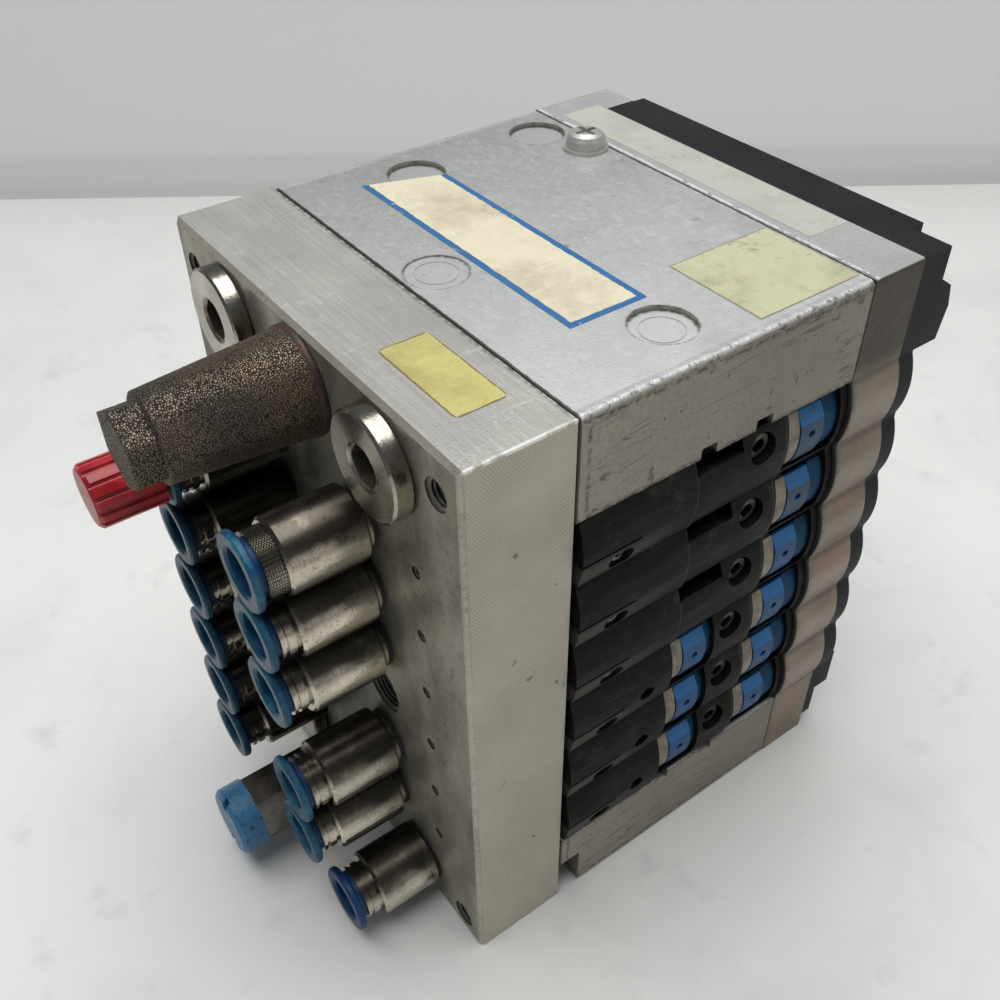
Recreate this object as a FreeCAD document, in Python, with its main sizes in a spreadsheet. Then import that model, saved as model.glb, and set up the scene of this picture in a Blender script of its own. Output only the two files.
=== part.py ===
import FreeCAD, Part
import math
import os

import Sketcher

# Pneumatic valve island: six valve slices clamped between two end plates, with a connector
# plate of push-in fittings in front and an electrical node behind. Millimetres, +Z up.
# X runs across the island, Y from the connector plate to the electrical node. The origin is
# the middle of the lower end plate's resting face.

# Driving dimensions, in millimetres
SIZES = {
    # Clamped stack
    "stack_width": 88,
    "block_depth": 60,
    "end_plate_thickness": 19,
    "slice_pitch": 14,
    "slice_count": 6,
    "slice_gap": 0.1,
    "end_plate_edge": 1,
    "end_plate_seam_edge": 0.3,
    "cut_overrun": 20,
    "end_room": 0.5,
    "screw_edge": 0.25,
    # Connector plate
    "plate_depth": 19.2,
    "plate_chamfer": 0.8,
    "gasket_thickness": 0.3,
    "gasket_inset": 0.8,
    # Port layout on the connector plate
    "port_column_spacing": 30.4,
    "port_row_drop": 1.5,
    "port_bore_radius": 4.4,
    "port_thread_depth": 9,
    "port_mouth_radius": 5.2,
    "port_mouth_depth": 0.5,
    "passage_radius": 2.4,
    "supply_spacing": 48.8,
    "supply_inset": 10,
    "supply_bore_radius": 5.9,
    "supply_thread_depth": 11,
    "supply_passage_radius": 3,
    "centre_supply_shift": 3.5,
    "centre_supply_rise": 1.5,
    "thread_clearance": 0.05,
    # Mounting holes and plate screws
    "mount_inset_across": 5.8,
    "mount_inset_low": 4.75,
    "mount_inset_high": 7.25,
    "mount_bore_radius": 2.1,
    "mount_bore_depth": 12,
    "mount_mouth_radius": 2.7,
    "plate_screw_inset": 13,
    "plate_screw_radius": 1.1,
    "plate_screw_sink": 0.9,
    "plate_screw_reach": 4,
    # Valve slices
    "slice_side_inset": 0.2,
    "slice_bulge": 1.5,
    "slice_neck_length": 0.8,
    "slice_neck_inset": 1.2,
    "slice_step": 0.35,
    "slice_front_reach": 24.5,
    "slice_middle_reach": 44.7,
    "slice_back_gap": 0.5,
    "spool_axis_offset": 2,
    "spool_bore_radius": 3,
    "spool_bore_margin": 12.8,
    "spool_clearance": 0.05,
    "spool_waist_radius": 1.9,
    "spool_land_length": 8,
    "spool_travel": 2.5,
    "cap_radius": 4,
    "cap_depth": 4.5,
    # Details on the right side of each slice
    "slot_reach": 12.6,
    "slot_drop": 1.3,
    "slot_width": 0.5,
    "slot_depth": 0.5,
    "side_screw_from_front": 9,
    "side_screw_drop": 4.2,
    "side_screw_radius": 1.3,
    "side_recess_length": 5,
    "side_recess_radius": 1.65,
    "side_recess_depth": 0.6,
    "side_screw_head": 0.5,
    "side_screw_depth": 5.3,
    "blank_pocket_gap": 4.4,
    "blank_pocket_length": 10.4,
    "blank_pocket_height": 4.2,
    "blank_pocket_depth": 2.3,
    "pilot_screw_gap": 6.1,
    "pilot_screw_rise": 2.9,
    "pilot_screw_radius": 2.5,
    "pilot_screw_room": 0.35,
    "pilot_screw_depth": 1.8,
    "pilot_screw_head": 1.5,
    "pilot_shank_radius": 1.25,
    "pilot_shank_depth": 6.3,
    "test_hole_gap": 5.9,
    "test_hole_radius": 1.6,
    "test_hole_depth": 2.8,
    # Manual overrides: seat, button and light window in one recess
    "override_wall": 2.3,
    "second_override_gap": 10.2,
    "override_depth": 3.3,
    "override_foot": 5.8,
    "override_top": 5.2,
    "seat_length": 3.4,
    "button_length": 5.6,
    "window_length": 3.4,
    "front_window_length": 1.3,
    "button_room": 0.25,
    "button_back": 1.7,
    "button_travel": 0.9,
    "button_shoulder": 2.4,
    "button_lip": 1,
    "button_crest": 0.5,
    "button_face_bow": 0.7,
    "stem_radius": 1.4,
    "stem_clearance": 0.06,
    "stem_length": 4.6,
    "button_hole_radius": 0.75,
    "button_hole_depth": 1.2,
    # Tie rods
    "tie_inset_side": 10.5,
    "tie_inset_front": 24,
    "tie_inset_back": 7.5,
    "tie_radius": 2,
    "shank_clearance": 0.2,
    "tie_head_radius": 3.4,
    "tie_head_height": 3,
    "tie_head_sink": 4,
    "tie_grip": 9,
    "tie_socket_across": 3,
    # Push-in fittings
    "fitting_radius": 6.7,
    "fitting_foot": 1.8,
    "fitting_body_end": 15.8,
    "fitting_neck_radius": 5.4,
    "fitting_neck_end": 18.9,
    "fitting_groove_depth": 0.4,
    "fitting_groove_width": 0.6,
    "fitting_edge": 0.5,
    "fitting_stub_length": 7.5,
    "knurl_radius": 5.7,
    "short_fitting_cut": 2.7,
    "sleeve_bore_radius": 4.85,
    "sleeve_bore_depth": 7.1,
    "sleeve_clearance": 0.05,
    "tube_seat_radius": 4.05,
    "tube_seat_depth": 7.5,
    "flow_radius": 2.5,
    "seal_thickness": 0.9,
    "seal_width": 1.1,
    # Release rings
    "ring_radius": 6.65,
    "large_ring_radius": 6.85,
    "ring_thickness": 1.5,
    "ring_edge": 0.35,
    "ring_gap": 1.1,
    "ring_travel": 0.8,
    "ring_bore_radius": 4.15,
    "ring_funnel": 0.5,
    # Red blanking plug in the first left fitting
    "blank_shank_radius": 4,
    "blank_neck_gap": 0.4,
    "blank_head_length": 11.6,
    "blank_head_radius": 5.7,
    "blank_edge": 0.7,
    "rib_count": 14,
    "rib_radius": 0.55,
    # Hexagon socket plugs
    "plug_radius": 8.9,
    "plug_flange": 3,
    "plug_seal_thickness": 0.5,
    "plug_stub_length": 7,
    "plug_socket_across": 6.4,
    "plug_socket_depth": 5.5,
    "plug_bevel_radius": 4.1,
    "plug_edge": 0.4,
    "seal_inset": 0.35,
    # Silencer
    "silencer_rim_radius": 9.3,
    "silencer_rim": 1.2,
    "silencer_base_radius": 9,
    "silencer_tip_radius": 7.4,
    "silencer_cone_end": 25.1,
    "silencer_end": 29.7,
    "silencer_hex_across": 12,
    "silencer_bore_radius": 4.5,
    "supply_stub_length": 9,
    # Centre supply fitting and its cap
    "supply_hex_across": 13,
    "supply_hex_start": 6,
    "supply_body_end": 24.4,
    "supply_spigot_end": 28,
    "supply_spigot_radius": 5,
    "supply_flow_radius": 3,
    "supply_cap_radius": 7.3,
    "supply_cap_wall": 1.6,
    "supply_cap_room": 0.2,
    "supply_cap_edge": 0.8,
    "cap_slot_width": 1.6,
    "cap_slot_length": 3,
    "cap_slot_depth": 1.2,
    # Electrical node housing
    "housing_depth": 12,
    "housing_wall": 4,
    "housing_side_wall": 5,
    "housing_end_wall": 12,
    "housing_strip_width": 8.6,
    "housing_strip_depth": 7,
    "housing_edge": 0.6,
    "contact_window_width": 12,
    "contact_window_height": 5,
    # Circuit board
    "board_thickness": 1.6,
    "board_standoff": 2,
    "board_boss_radius": 2.5,
    "board_clearance": 0.6,
    "contact_head": 5.6,
    # Node cover
    "cover_base": 3.8,
    "cover_foot_height": 4,
    "cover_top_step": 6.7,
    "cover_rail_low_drop": 19.1,
    "cover_rail_high_drop": 8.3,
    "cover_rail_crest": 6.5,
    "cover_rail_depth": 10.9,
    "cover_rail_bevel": 1.1,
    "cover_upper_drop": 6.2,
    "cover_lump_low": 11.7,
    "cover_lump_high": 21.5,
    "cover_lump_depth": 6.5,
    "cover_lump_slope": 2.5,
    "cover_toe_depth": 2.5,
    "cover_block_inset": 8,
    "cover_block_depth": 10.5,
    "cover_edge": 0.8,
    "cover_seam": 0.3,
    # Multi-pin connector
    "connector_height": 66,
    "connector_flange_width": 53,
    "connector_flange_height": 12.5,
    "connector_flange": 0.8,
    "connector_shell_width": 38.9,
    "connector_shell_height": 8.4,
    "connector_shell_reach": 5.9,
    "connector_shell_wall": 0.4,
    "connector_slant": 10,
    "connector_insert_gap": 0.1,
    "connector_insert_reach": 1,
    "pin_pitch": 2.77,
    "pin_row_spacing": 2.84,
    "pin_side": 0.9,
    "pin_reach": 5.2,
    "pin_root": 0.8,
    # Cover screws and earth screw
    "cover_screw_inset": 14,
    "cover_screw_low": 8.6,
    "cover_screw_high_drop": 5,
    "cover_screw_radius": 1.5,
    "cover_screw_head_radius": 2.8,
    "cover_screw_head": 2,
    "cover_screw_grip": 7,
    "cover_screw_seat": 4,
    "head_room": 0.3,
    "earth_inset_side": 21,
    "earth_inset_back": 4,
    "earth_screw_radius": 2,
    "earth_head_radius": 3.8,
    "earth_head_height": 2.8,
    "earth_head_side": 1.5,
    "earth_shoulder_radius": 3.3,
    "earth_shoulder_drop": 0.45,
    "earth_flat_radius": 2.1,
    "earth_washer_radius": 4.4,
    "earth_washer": 0.6,
    "earth_screw_depth": 8,
    "cross_width": 1,
    "cross_length": 4.6,
    "small_cross_length": 3.4,
    "cross_depth": 1.3,
    # Marks and notches on the end plates
    "mark_radius": 5.5,
    "deep_mark": 1,
    "shallow_mark": 0.25,
    "mark_ring_radius": 3.7,
    "mark_ring_width": 0.15,
    "mark_ring_depth": 0.1,
    "notch_depth": 2,
    "notch_inset": 2.2,
    "notch_one_gap": 13.9,
    "notch_one_length": 3.3,
    "notch_two_gap": 1.9,
    "notch_two_length": 3.6,
    "foot_notch_length": 5,
    "foot_notch_height": 10.7,
    "foot_notch_width": 8,
}

# Round marks left by the casting tool on the upper end plate, as shares of its size
PLAIN_MARKS = ((-0.378, -0.103), (-0.389, 0.38))
RINGED_MARK = (0.377, -0.09)
SHALLOW_MARK = (-0.002, -0.393)

# Rows from the top: the slices with two pilot sides, and the rows with fittings
DOUBLE_SLICES = (3, 4, 5)
LEFT_FITTING_ROWS = (0, 1, 2, 3, 4, 5)
RIGHT_FITTING_ROWS = (0, 1, 2, 4, 5)
PINS_UPPER_ROW = 13
PINS_LOWER_ROW = 12

# Corner radius of a hexagon that measures one across its flats
HEX_CORNER = 1 / math.sqrt(3)

# The slice's section narrows in two steps, and the overrides sit behind the second
LAST_STEP = 2


class Size:
    """A length in millimetres that keeps the sheet expression it comes from."""

    def __init__(self, text, value):
        self.text = text
        self.value = value

    def __add__(self, other):
        other = as_size(other)
        return Size(f"({self.text} + {other.text})", self.value + other.value)

    def __sub__(self, other):
        other = as_size(other)
        return Size(f"({self.text} - {other.text})", self.value - other.value)

    def __mul__(self, other):
        other = as_size(other)
        return Size(f"({self.text} * {other.text})", self.value * other.value)

    def __truediv__(self, other):
        other = as_size(other)
        return Size(f"({self.text} / {other.text})", self.value / other.value)

    def __neg__(self):
        return Size(f"(0 - {self.text})", -self.value)

    __radd__ = __add__
    __rmul__ = __mul__


def as_size(value):
    if isinstance(value, Size):
        return value
    return Size(f"{value:.10g}", float(value))


def write_sheet(document, sizes):
    """Put every driving dimension in the sheet and return them by name."""
    sheet = document.addObject("Spreadsheet::Sheet", "sizes")
    named = {}
    for row, (name, value) in enumerate(sizes.items(), start=1):
        sheet.set(f"A{row}", name)
        sheet.set(f"B{row}", str(value))
        sheet.setAlias(f"B{row}", name)
        named[name] = Size(f"sizes.{name}", float(value))
    document.recompute()
    return named


class Namespace:
    """The driving dimensions as attributes."""

    def __init__(self, named):
        self.__dict__.update(named)


document = FreeCAD.newDocument("valve_island")
s = Namespace(write_sheet(document, SIZES))
nodes = []

ZERO = as_size(0)


# Places worked out from the driving dimensions
half_width = s.stack_width / 2
half_depth = s.block_depth / 2
stack_top = s.end_plate_thickness * 2 + s.slice_pitch * s.slice_count
plate_back = -half_depth - s.gasket_thickness
plate_front = plate_back - s.plate_depth
upper_plate_base = stack_top - s.end_plate_thickness
upper_supply_height = stack_top - s.supply_inset
half_ports = s.port_column_spacing / 2
half_supply = s.supply_spacing / 2
slice_half = s.slice_pitch / 2 - s.slice_gap / 2
arc_radius = (slice_half * slice_half + s.slice_bulge * s.slice_bulge) / (s.slice_bulge * 2)
housing_back = half_depth + s.housing_depth
cover_block_back = housing_back + s.cover_block_depth
stub_radius = s.port_bore_radius - s.thread_clearance
supply_stub_radius = s.supply_bore_radius - s.thread_clearance
tie_places = [
    (side * (half_width - s.tie_inset_side), y)
    for side in (-1, 1)
    for y in (s.tie_inset_front - half_depth, half_depth - s.tie_inset_back)
]

# Depths under the slices' right side
slice_side = half_width - s.slice_side_inset
override_face = slice_side - s.slice_step * LAST_STEP
override_floor = slice_side - s.override_depth
spool_bore_end = slice_side - s.spool_bore_margin
side_recess_floor = slice_side - s.side_recess_depth
side_screw_end = slice_side - s.side_screw_depth
pilot_screw_floor = slice_side - s.pilot_screw_depth
pilot_shank_end = slice_side - s.pilot_shank_depth

# Places along the slices' right side, counted from the slices' ends
window_offset = s.seat_length + s.button_length + s.button_room * 2
button_offset = s.seat_length + s.button_room + s.button_length / 2
rear_front = half_depth - s.override_wall - window_offset - s.window_length
second_front = rear_front - s.second_override_gap - window_offset - s.front_window_length
rear_override = (rear_front, s.window_length)
front_override = (second_front, s.front_window_length)
pilot_screw_place = rear_front - s.pilot_screw_gap
side_screw_place = s.side_screw_from_front - half_depth
slice_total = int(SIZES["slice_count"])


def slice_height(row):
    """Height of the middle of a slice, counted from the top."""
    return upper_plate_base - s.slice_pitch * (row + 0.5)


def port_height(row):
    return slice_height(row) - s.port_row_drop


# Building blocks

def bind(item, **lengths):
    """Give an object's properties their sizes and the expressions that drive them."""
    for name, length in lengths.items():
        length = as_size(length)
        setattr(item, name, length.value)
        item.setExpression(name, length.text)


def place(item, x=ZERO, y=ZERO, z=ZERO, rotation=None):
    turn = rotation or FreeCAD.Rotation()
    spot = [as_size(value) for value in (x, y, z)]
    item.Placement = FreeCAD.Placement(FreeCAD.Vector(*[value.value for value in spot]), turn)
    for axis, value in zip("xyz", spot):
        item.setExpression(f"Placement.Base.{axis}", value.text)
    return item


def start_body(label):
    return document.addObject("PartDesign::Body", label)


def origin_feature(body, role):
    return [item for item in body.Origin.OriginFeatures if item.Role == role][0]


def start_sketch(body, plane, offset=ZERO):
    """A sketch on one of the body's own origin planes, moved along the plane's normal."""
    sketch = body.newObject("Sketcher::SketchObject", "outline")
    sketch.AttachmentSupport = [(origin_feature(body, plane), "")]
    sketch.MapMode = "FlatFace"
    offset = as_size(offset)
    sketch.AttachmentOffset = FreeCAD.Placement(
        FreeCAD.Vector(0, 0, offset.value), FreeCAD.Rotation()
    )
    sketch.setExpression("AttachmentOffset.Base.z", offset.text)
    return sketch


def pin_point(sketch, edge, end, u, v):
    """Hold one end of an edge at (u, v) from the sketch's origin."""
    for kind, length in (("DistanceX", u), ("DistanceY", v)):
        index = sketch.addConstraint(
            Sketcher.Constraint(kind, -1, 1, edge, end, length.value)
        )
        sketch.setExpression(f"Constraints[{index}]", length.text)


def draw_outline(sketch, corners, arcs=None):
    """A closed outline through the corners. arcs gives, for an edge that starts at a corner,
    the point halfway along the arc and the arc's radius."""
    arcs = arcs or {}
    corners = [(as_size(u), as_size(v)) for u, v in corners]
    points = [FreeCAD.Vector(u.value, v.value, 0) for u, v in corners]
    count = len(points)
    starts = []
    ends = []
    edges = []
    for number, point in enumerate(points):
        following = points[(number + 1) % count]
        if number in arcs:
            (u, v), radius = arcs[number]
            halfway = FreeCAD.Vector(as_size(u).value, as_size(v).value, 0)
            edge = sketch.addGeometry(Part.Arc(point, halfway, following))
            drawn = sketch.Geometry[edge]
            forward = (drawn.StartPoint - point).Length < (drawn.EndPoint - point).Length
        else:
            edge = sketch.addGeometry(Part.LineSegment(point, following))
            forward = True
        edges.append(edge)
        starts.append(1 if forward else 2)
        ends.append(2 if forward else 1)
    for number in range(count):
        following = (number + 1) % count
        sketch.addConstraint(Sketcher.Constraint(
            "Coincident", edges[number], ends[number], edges[following], starts[following]
        ))
    for number, (u, v) in enumerate(corners):
        pin_point(sketch, edges[number], starts[number], u, v)
    for number, (_, radius) in arcs.items():
        index = sketch.addConstraint(
            Sketcher.Constraint("Radius", edges[number], radius.value)
        )
        sketch.setExpression(f"Constraints[{index}]", radius.text)
    return sketch


def draw_rectangle(sketch, left, low, right, high):
    return draw_outline(sketch, [(left, low), (right, low), (right, high), (left, high)])


def draw_circle(sketch, u, v, radius):
    u, v, radius = as_size(u), as_size(v), as_size(radius)
    edge = sketch.addGeometry(
        Part.Circle(FreeCAD.Vector(u.value, v.value, 0), FreeCAD.Vector(0, 0, 1), radius.value)
    )
    index = sketch.addConstraint(Sketcher.Constraint("Radius", edge, radius.value))
    sketch.setExpression(f"Constraints[{index}]", radius.text)
    pin_point(sketch, edge, 3, u, v)
    return sketch


def draw_hexagon(sketch, u, v, across):
    """A hexagon with two corners along the sketch's first axis."""
    corner = across * HEX_CORNER
    points = []
    for step in range(6):
        angle = math.radians(60 * step)
        points.append((u + corner * math.cos(angle), v + corner * math.sin(angle)))
    return draw_outline(sketch, points)


def draw_slot(sketch, left, right, middle, half, bulge):
    """A slot with bowed ends along the sketch's first axis."""
    radius = (half * half + bulge * bulge) / (bulge * 2)
    return draw_outline(
        sketch,
        [(left, middle - half), (right, middle - half),
         (right, middle + half), (left, middle + half)],
        {1: ((right + bulge, middle), radius), 3: ((left - bulge, middle), radius)},
    )


def extrude(body, kind, sketch, length, reverse=False):
    feature = body.newObject(f"PartDesign::{kind}", kind.lower())
    feature.Profile = sketch
    bind(feature, Length=length)
    feature.Reversed = reverse
    return feature


def pad(body, sketch, length, reverse=False):
    return extrude(body, "Pad", sketch, length, reverse)


def pocket(body, sketch, length, reverse=False):
    return extrude(body, "Pocket", sketch, length, reverse)


def turn(body, kind, sketch, axis):
    feature = body.newObject(f"PartDesign::{kind}", kind.lower())
    feature.Profile = sketch
    feature.ReferenceAxis = (sketch, [axis])
    feature.Angle = 360
    return feature


def turned_body(label, outline, axis="V_Axis", plane="XY_Plane"):
    """A turned piece: the outline lies on the plane and turns about the sketch's axis."""
    body = start_body(label)
    sketch = draw_outline(start_sketch(body, plane), outline)
    turn(body, "Revolution", sketch, axis)
    return body


def pattern_polar(body, feature, axis, count):
    pattern = body.newObject("PartDesign::PolarPattern", "ring_of_copies")
    pattern.Originals = [feature]
    pattern.Axis = (origin_feature(body, axis), [""])
    pattern.Angle = 360
    pattern.Occurrences = count
    body.Tip = pattern
    return pattern


def pattern_line(body, feature, axis, pitch, count):
    """Copies at a pitch along one of the body's axes."""
    pattern = body.newObject("PartDesign::LinearPattern", "row_of_copies")
    pattern.Originals = [feature]
    pattern.Direction = (origin_feature(body, axis), [""])
    bind(pattern, Length=pitch * (count - 1))
    pattern.Occurrences = count
    body.Tip = pattern
    return pattern


def edges_where(shape, test):
    """Names of the edges whose bounding box passes the test."""
    return [
        f"Edge{number}"
        for number, edge in enumerate(shape.Edges, start=1)
        if test(edge.BoundBox)
    ]


def close_to(first, second):
    return abs(first - second) < 0.001


def dress(body, kind, size, test):
    """Chamfer or fillet the edges of the body's last feature that pass the test."""
    document.recompute()
    base = body.Tip
    feature = body.newObject(f"PartDesign::{kind}", kind.lower())
    feature.Base = (base, edges_where(base.Shape, test))
    if kind == "Chamfer":
        bind(feature, Size=size)
    else:
        bind(feature, Radius=size)
    return feature


def keep(item, label):
    """Hand an object in as one node."""
    item.Label = label
    nodes.append(item)
    return item


def mixed_copies(label, places):
    """One node made of copies: each place names its pattern, then x, y and z."""
    group = document.addObject("Part::Compound", label)
    links = []
    for number, (seed, x, y, z) in enumerate(places, start=1):
        link = document.addObject("App::Link", f"{label}_copy_{number}")
        link.LinkedObject = seed
        place(link, x, y, z)
        links.append(link)
    group.Links = links
    return keep(group, label)


def copies(label, seed, places):
    """One node made of copies of one pattern."""
    return mixed_copies(label, [(seed, x, y, z) for x, y, z in places])


# Connector plate and its gasket

def port_places():
    """Every working port on the plate's face."""
    return [
        (side * half_ports, port_height(row))
        for row in range(slice_total)
        for side in (-1, 1)
    ]


def supply_places():
    """The supply ports: three above the working ports and three below."""
    upper = [(side * half_supply, upper_supply_height) for side in (-1, 0, 1)]
    lower = [(side * half_supply, s.supply_inset) for side in (-1, 1)]
    return upper + lower + [centre_supply_place]


centre_supply_place = (-s.centre_supply_shift, s.supply_inset + s.centre_supply_rise)


def mount_places():
    return [
        (side * (half_width - s.mount_inset_across), height)
        for side in (-1, 1)
        for height in (s.mount_inset_low, stack_top - s.mount_inset_high)
    ]


plate_screw_column = half_width - s.plate_screw_inset


def plate_screw_places():
    return [
        (side * plate_screw_column, port_height(row))
        for row in range(slice_total)
        for side in (-1, 1)
    ]


def front_holes(body, places, radius, depth, start=ZERO):
    """Round pockets into a face that looks along -Y, from start below it."""
    sketch = start_sketch(body, "XZ_Plane", -start)
    for x, z in places:
        draw_circle(sketch, x, z, radius)
    return pocket(body, sketch, depth)


def connector_plate():
    body = start_body("connector_plate")
    face = draw_rectangle(start_sketch(body, "XZ_Plane"), -half_width, ZERO, half_width, stack_top)
    pad(body, face, s.plate_depth, reverse=True)
    dress(body, "Chamfer", s.plate_chamfer, lambda box: close_to(box.YMax, 0))
    front_holes(body, port_places(), s.port_mouth_radius, s.port_mouth_depth)
    front_holes(body, port_places(), s.port_bore_radius, s.port_thread_depth)
    front_holes(body, port_places(), s.passage_radius, s.plate_depth)
    front_holes(body, supply_places(), s.supply_bore_radius, s.supply_thread_depth)
    front_holes(body, supply_places(), s.supply_passage_radius, s.plate_depth)
    front_holes(body, mount_places(), s.mount_mouth_radius, s.port_mouth_depth)
    front_holes(body, mount_places(), s.mount_bore_radius, s.mount_bore_depth)
    front_holes(body, plate_screw_places(), s.plate_screw_radius + s.thread_clearance, s.plate_depth)
    keep(place(body, y=plate_front), "connector_plate")


def plate_gasket():
    body = start_body("plate_gasket")
    inset = s.gasket_inset
    sketch = draw_rectangle(
        start_sketch(body, "XZ_Plane"), inset - half_width, inset, half_width - inset, stack_top - inset
    )
    for x, z in port_places():
        draw_circle(sketch, x, z, s.passage_radius)
    for x, z in supply_places():
        draw_circle(sketch, x, z, s.supply_passage_radius)
    for x, z in plate_screw_places():
        draw_circle(sketch, x, z, s.plate_screw_radius + s.thread_clearance)
    pad(body, sketch, s.gasket_thickness, reverse=True)
    keep(place(body, y=plate_back), "plate_gasket")


def plate_screws():
    """Long thin screws that hold the plate to the slices."""
    length = s.plate_depth + s.gasket_thickness + s.plate_screw_reach - s.plate_screw_sink
    radius = s.plate_screw_radius
    edge = s.screw_edge
    seed = turned_body("plate_screw_pattern", [
        (ZERO, ZERO), (radius - edge, ZERO), (radius, edge), (radius, length), (ZERO, length),
    ])
    front = plate_front + s.plate_screw_sink
    copies("plate_screws", seed, [(x, front, z) for x, z in plate_screw_places()])


# End plates

def end_plate(label, upper):
    """One end plate. The upper one's outer face looks up and the lower one's looks down."""
    body = start_body(label)
    thickness = s.end_plate_thickness
    outer, inner = (thickness, ZERO) if upper else (ZERO, thickness)
    block = draw_rectangle(
        start_sketch(body, "XY_Plane"), -half_width, -half_depth, half_width, half_depth
    )
    pad(body, block, thickness)
    dress(body, "Fillet", s.end_plate_edge, lambda box: close_to(box.ZMin, outer.value)
          and close_to(box.ZMax, outer.value) and close_to(box.XMin, box.XMax))
    dress(body, "Fillet", s.end_plate_seam_edge, lambda box: close_to(box.ZMin, outer.value)
          and close_to(box.ZMax, outer.value) and close_to(box.YMin, box.YMax))

    # Supply passages from the front face to the channels that run through the slices
    if upper:
        passages = [(side * half_supply, thickness - s.supply_inset) for side in (-1, 0, 1)]
    else:
        passages = [(side * half_supply, s.supply_inset) for side in (-1, 1)]
        passages.append(centre_supply_place)
    sketch = start_sketch(body, "XZ_Plane", half_depth)
    for x, z in passages:
        draw_circle(sketch, x, z, s.supply_passage_radius)
    pocket(body, sketch, half_depth + s.spool_axis_offset)
    channels = start_sketch(body, "XY_Plane", inner)
    for side in (-1, 0, 1):
        draw_circle(channels, side * half_supply, s.spool_axis_offset, s.passage_radius)
    pocket(body, channels, thickness - s.supply_inset, reverse=upper)

    # Notches in the inner edge on the right side
    for gap, length in ((s.notch_one_gap, s.notch_one_length),
                        (s.notch_two_gap, s.notch_two_length)):
        notch = start_sketch(body, "YZ_Plane", half_width - s.notch_inset)
        front = pilot_screw_place - gap
        low = ZERO if upper else thickness - s.notch_depth
        draw_rectangle(notch, front, low, front + length, low + s.notch_depth)
        pocket(body, notch, s.cut_overrun, reverse=True)
    return body


def cast_marks(body, height):
    """Round sunk marks in an upper face, two of them with a fine ring in their floor."""
    for marks, depth in (((*PLAIN_MARKS, RINGED_MARK), s.deep_mark),
                         ((SHALLOW_MARK,), s.shallow_mark)):
        sunk = start_sketch(body, "XY_Plane", height)
        for across, along in marks:
            draw_circle(sunk, s.stack_width * across, s.block_depth * along, s.mark_radius)
        pocket(body, sunk, depth)
    for (across, along), depth in ((RINGED_MARK, s.deep_mark), (SHALLOW_MARK, s.shallow_mark)):
        ring = start_sketch(body, "XY_Plane", height - depth)
        for radius in (s.mark_ring_radius, s.mark_ring_radius - s.mark_ring_width):
            draw_circle(ring, s.stack_width * across, s.block_depth * along, radius)
        pocket(body, ring, s.mark_ring_depth)


earth_screw_place = (s.earth_inset_side - half_width, half_depth - s.earth_inset_back)


def upper_end_plate():
    body = end_plate("upper_end_plate", True)
    threads = start_sketch(body, "XY_Plane")
    for x, y in tie_places:
        draw_circle(threads, x, y, s.tie_radius + s.thread_clearance)
    pocket(body, threads, s.tie_grip + s.end_room, reverse=True)
    cast_marks(body, s.end_plate_thickness)
    earth = start_sketch(body, "XY_Plane", s.end_plate_thickness)
    draw_circle(earth, *earth_screw_place, s.earth_screw_radius + s.thread_clearance)
    pocket(body, earth, s.earth_screw_depth + s.end_room)
    keep(place(body, z=upper_plate_base), "upper_end_plate")


def lower_end_plate():
    body = end_plate("lower_end_plate", False)
    holes = start_sketch(body, "XY_Plane")
    for x, y in tie_places:
        draw_circle(holes, x, y, s.tie_radius + s.shank_clearance)
    pocket(body, holes, s.end_plate_thickness, reverse=True)
    sinks = start_sketch(body, "XY_Plane")
    for x, y in tie_places:
        draw_circle(sinks, x, y, s.tie_head_radius + s.shank_clearance)
    pocket(body, sinks, s.tie_head_sink, reverse=True)
    foot = start_sketch(body, "YZ_Plane", half_width - s.foot_notch_width)
    draw_rectangle(foot, -half_depth, ZERO, s.foot_notch_length - half_depth, s.foot_notch_height)
    pocket(body, foot, s.foot_notch_width, reverse=True)
    keep(place(body), "lower_end_plate")


def tie_rods():
    """Four socket head rods that clamp the slices between the end plates."""
    start = s.tie_head_sink - s.tie_head_height
    end = upper_plate_base + s.tie_grip
    edge = s.screw_edge
    seed = turned_body("tie_rod_pattern", [
        (ZERO, start), (s.tie_head_radius - edge, start), (s.tie_head_radius, start + edge),
        (s.tie_head_radius, s.tie_head_sink), (s.tie_radius, s.tie_head_sink),
        (s.tie_radius, end), (ZERO, end),
    ], plane="XZ_Plane")
    socket = start_sketch(seed, "XY_Plane", start)
    draw_hexagon(socket, ZERO, ZERO, s.tie_socket_across)
    pocket(seed, socket, s.tie_head_height / 2, reverse=True)
    copies("tie_rods", seed, [(x, y, ZERO) for x, y in tie_places])


# Valve slices

def side_outline(sketch, half, step, low, high, bulge):
    """A slice's section across the island, with both short sides bowed out."""
    left = step - slice_side
    right = slice_side - step
    return draw_outline(
        sketch,
        [(left, low), (right, low), (right, high), (left, high)],
        {1: ((right + bulge, ZERO), arc_radius), 3: ((left - bulge, ZERO), arc_radius)},
    )


def side_pocket(body, front, back, low, high, floor):
    """Cut the right side back to the floor, between two places along Y and two heights."""
    sketch = start_sketch(body, "YZ_Plane", floor)
    draw_rectangle(sketch, front, low, back, high)
    return pocket(body, sketch, s.cut_overrun, reverse=True)


def side_hole(body, y, z, radius, floor):
    sketch = start_sketch(body, "YZ_Plane", floor)
    draw_circle(sketch, y, z, radius)
    return pocket(body, sketch, s.cut_overrun, reverse=True)


def override_recess(body, front, window):
    """The recess for a seat, a button and a light window, with the button's guide bore."""
    back = front + window_offset + window
    side_pocket(body, front, back, -s.override_foot, slice_half, override_floor)
    guide_end = override_floor + s.button_back - s.stem_length - s.button_travel - s.head_room
    side_hole(body, front + button_offset, ZERO, s.stem_radius + s.stem_clearance, guide_end)


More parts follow.
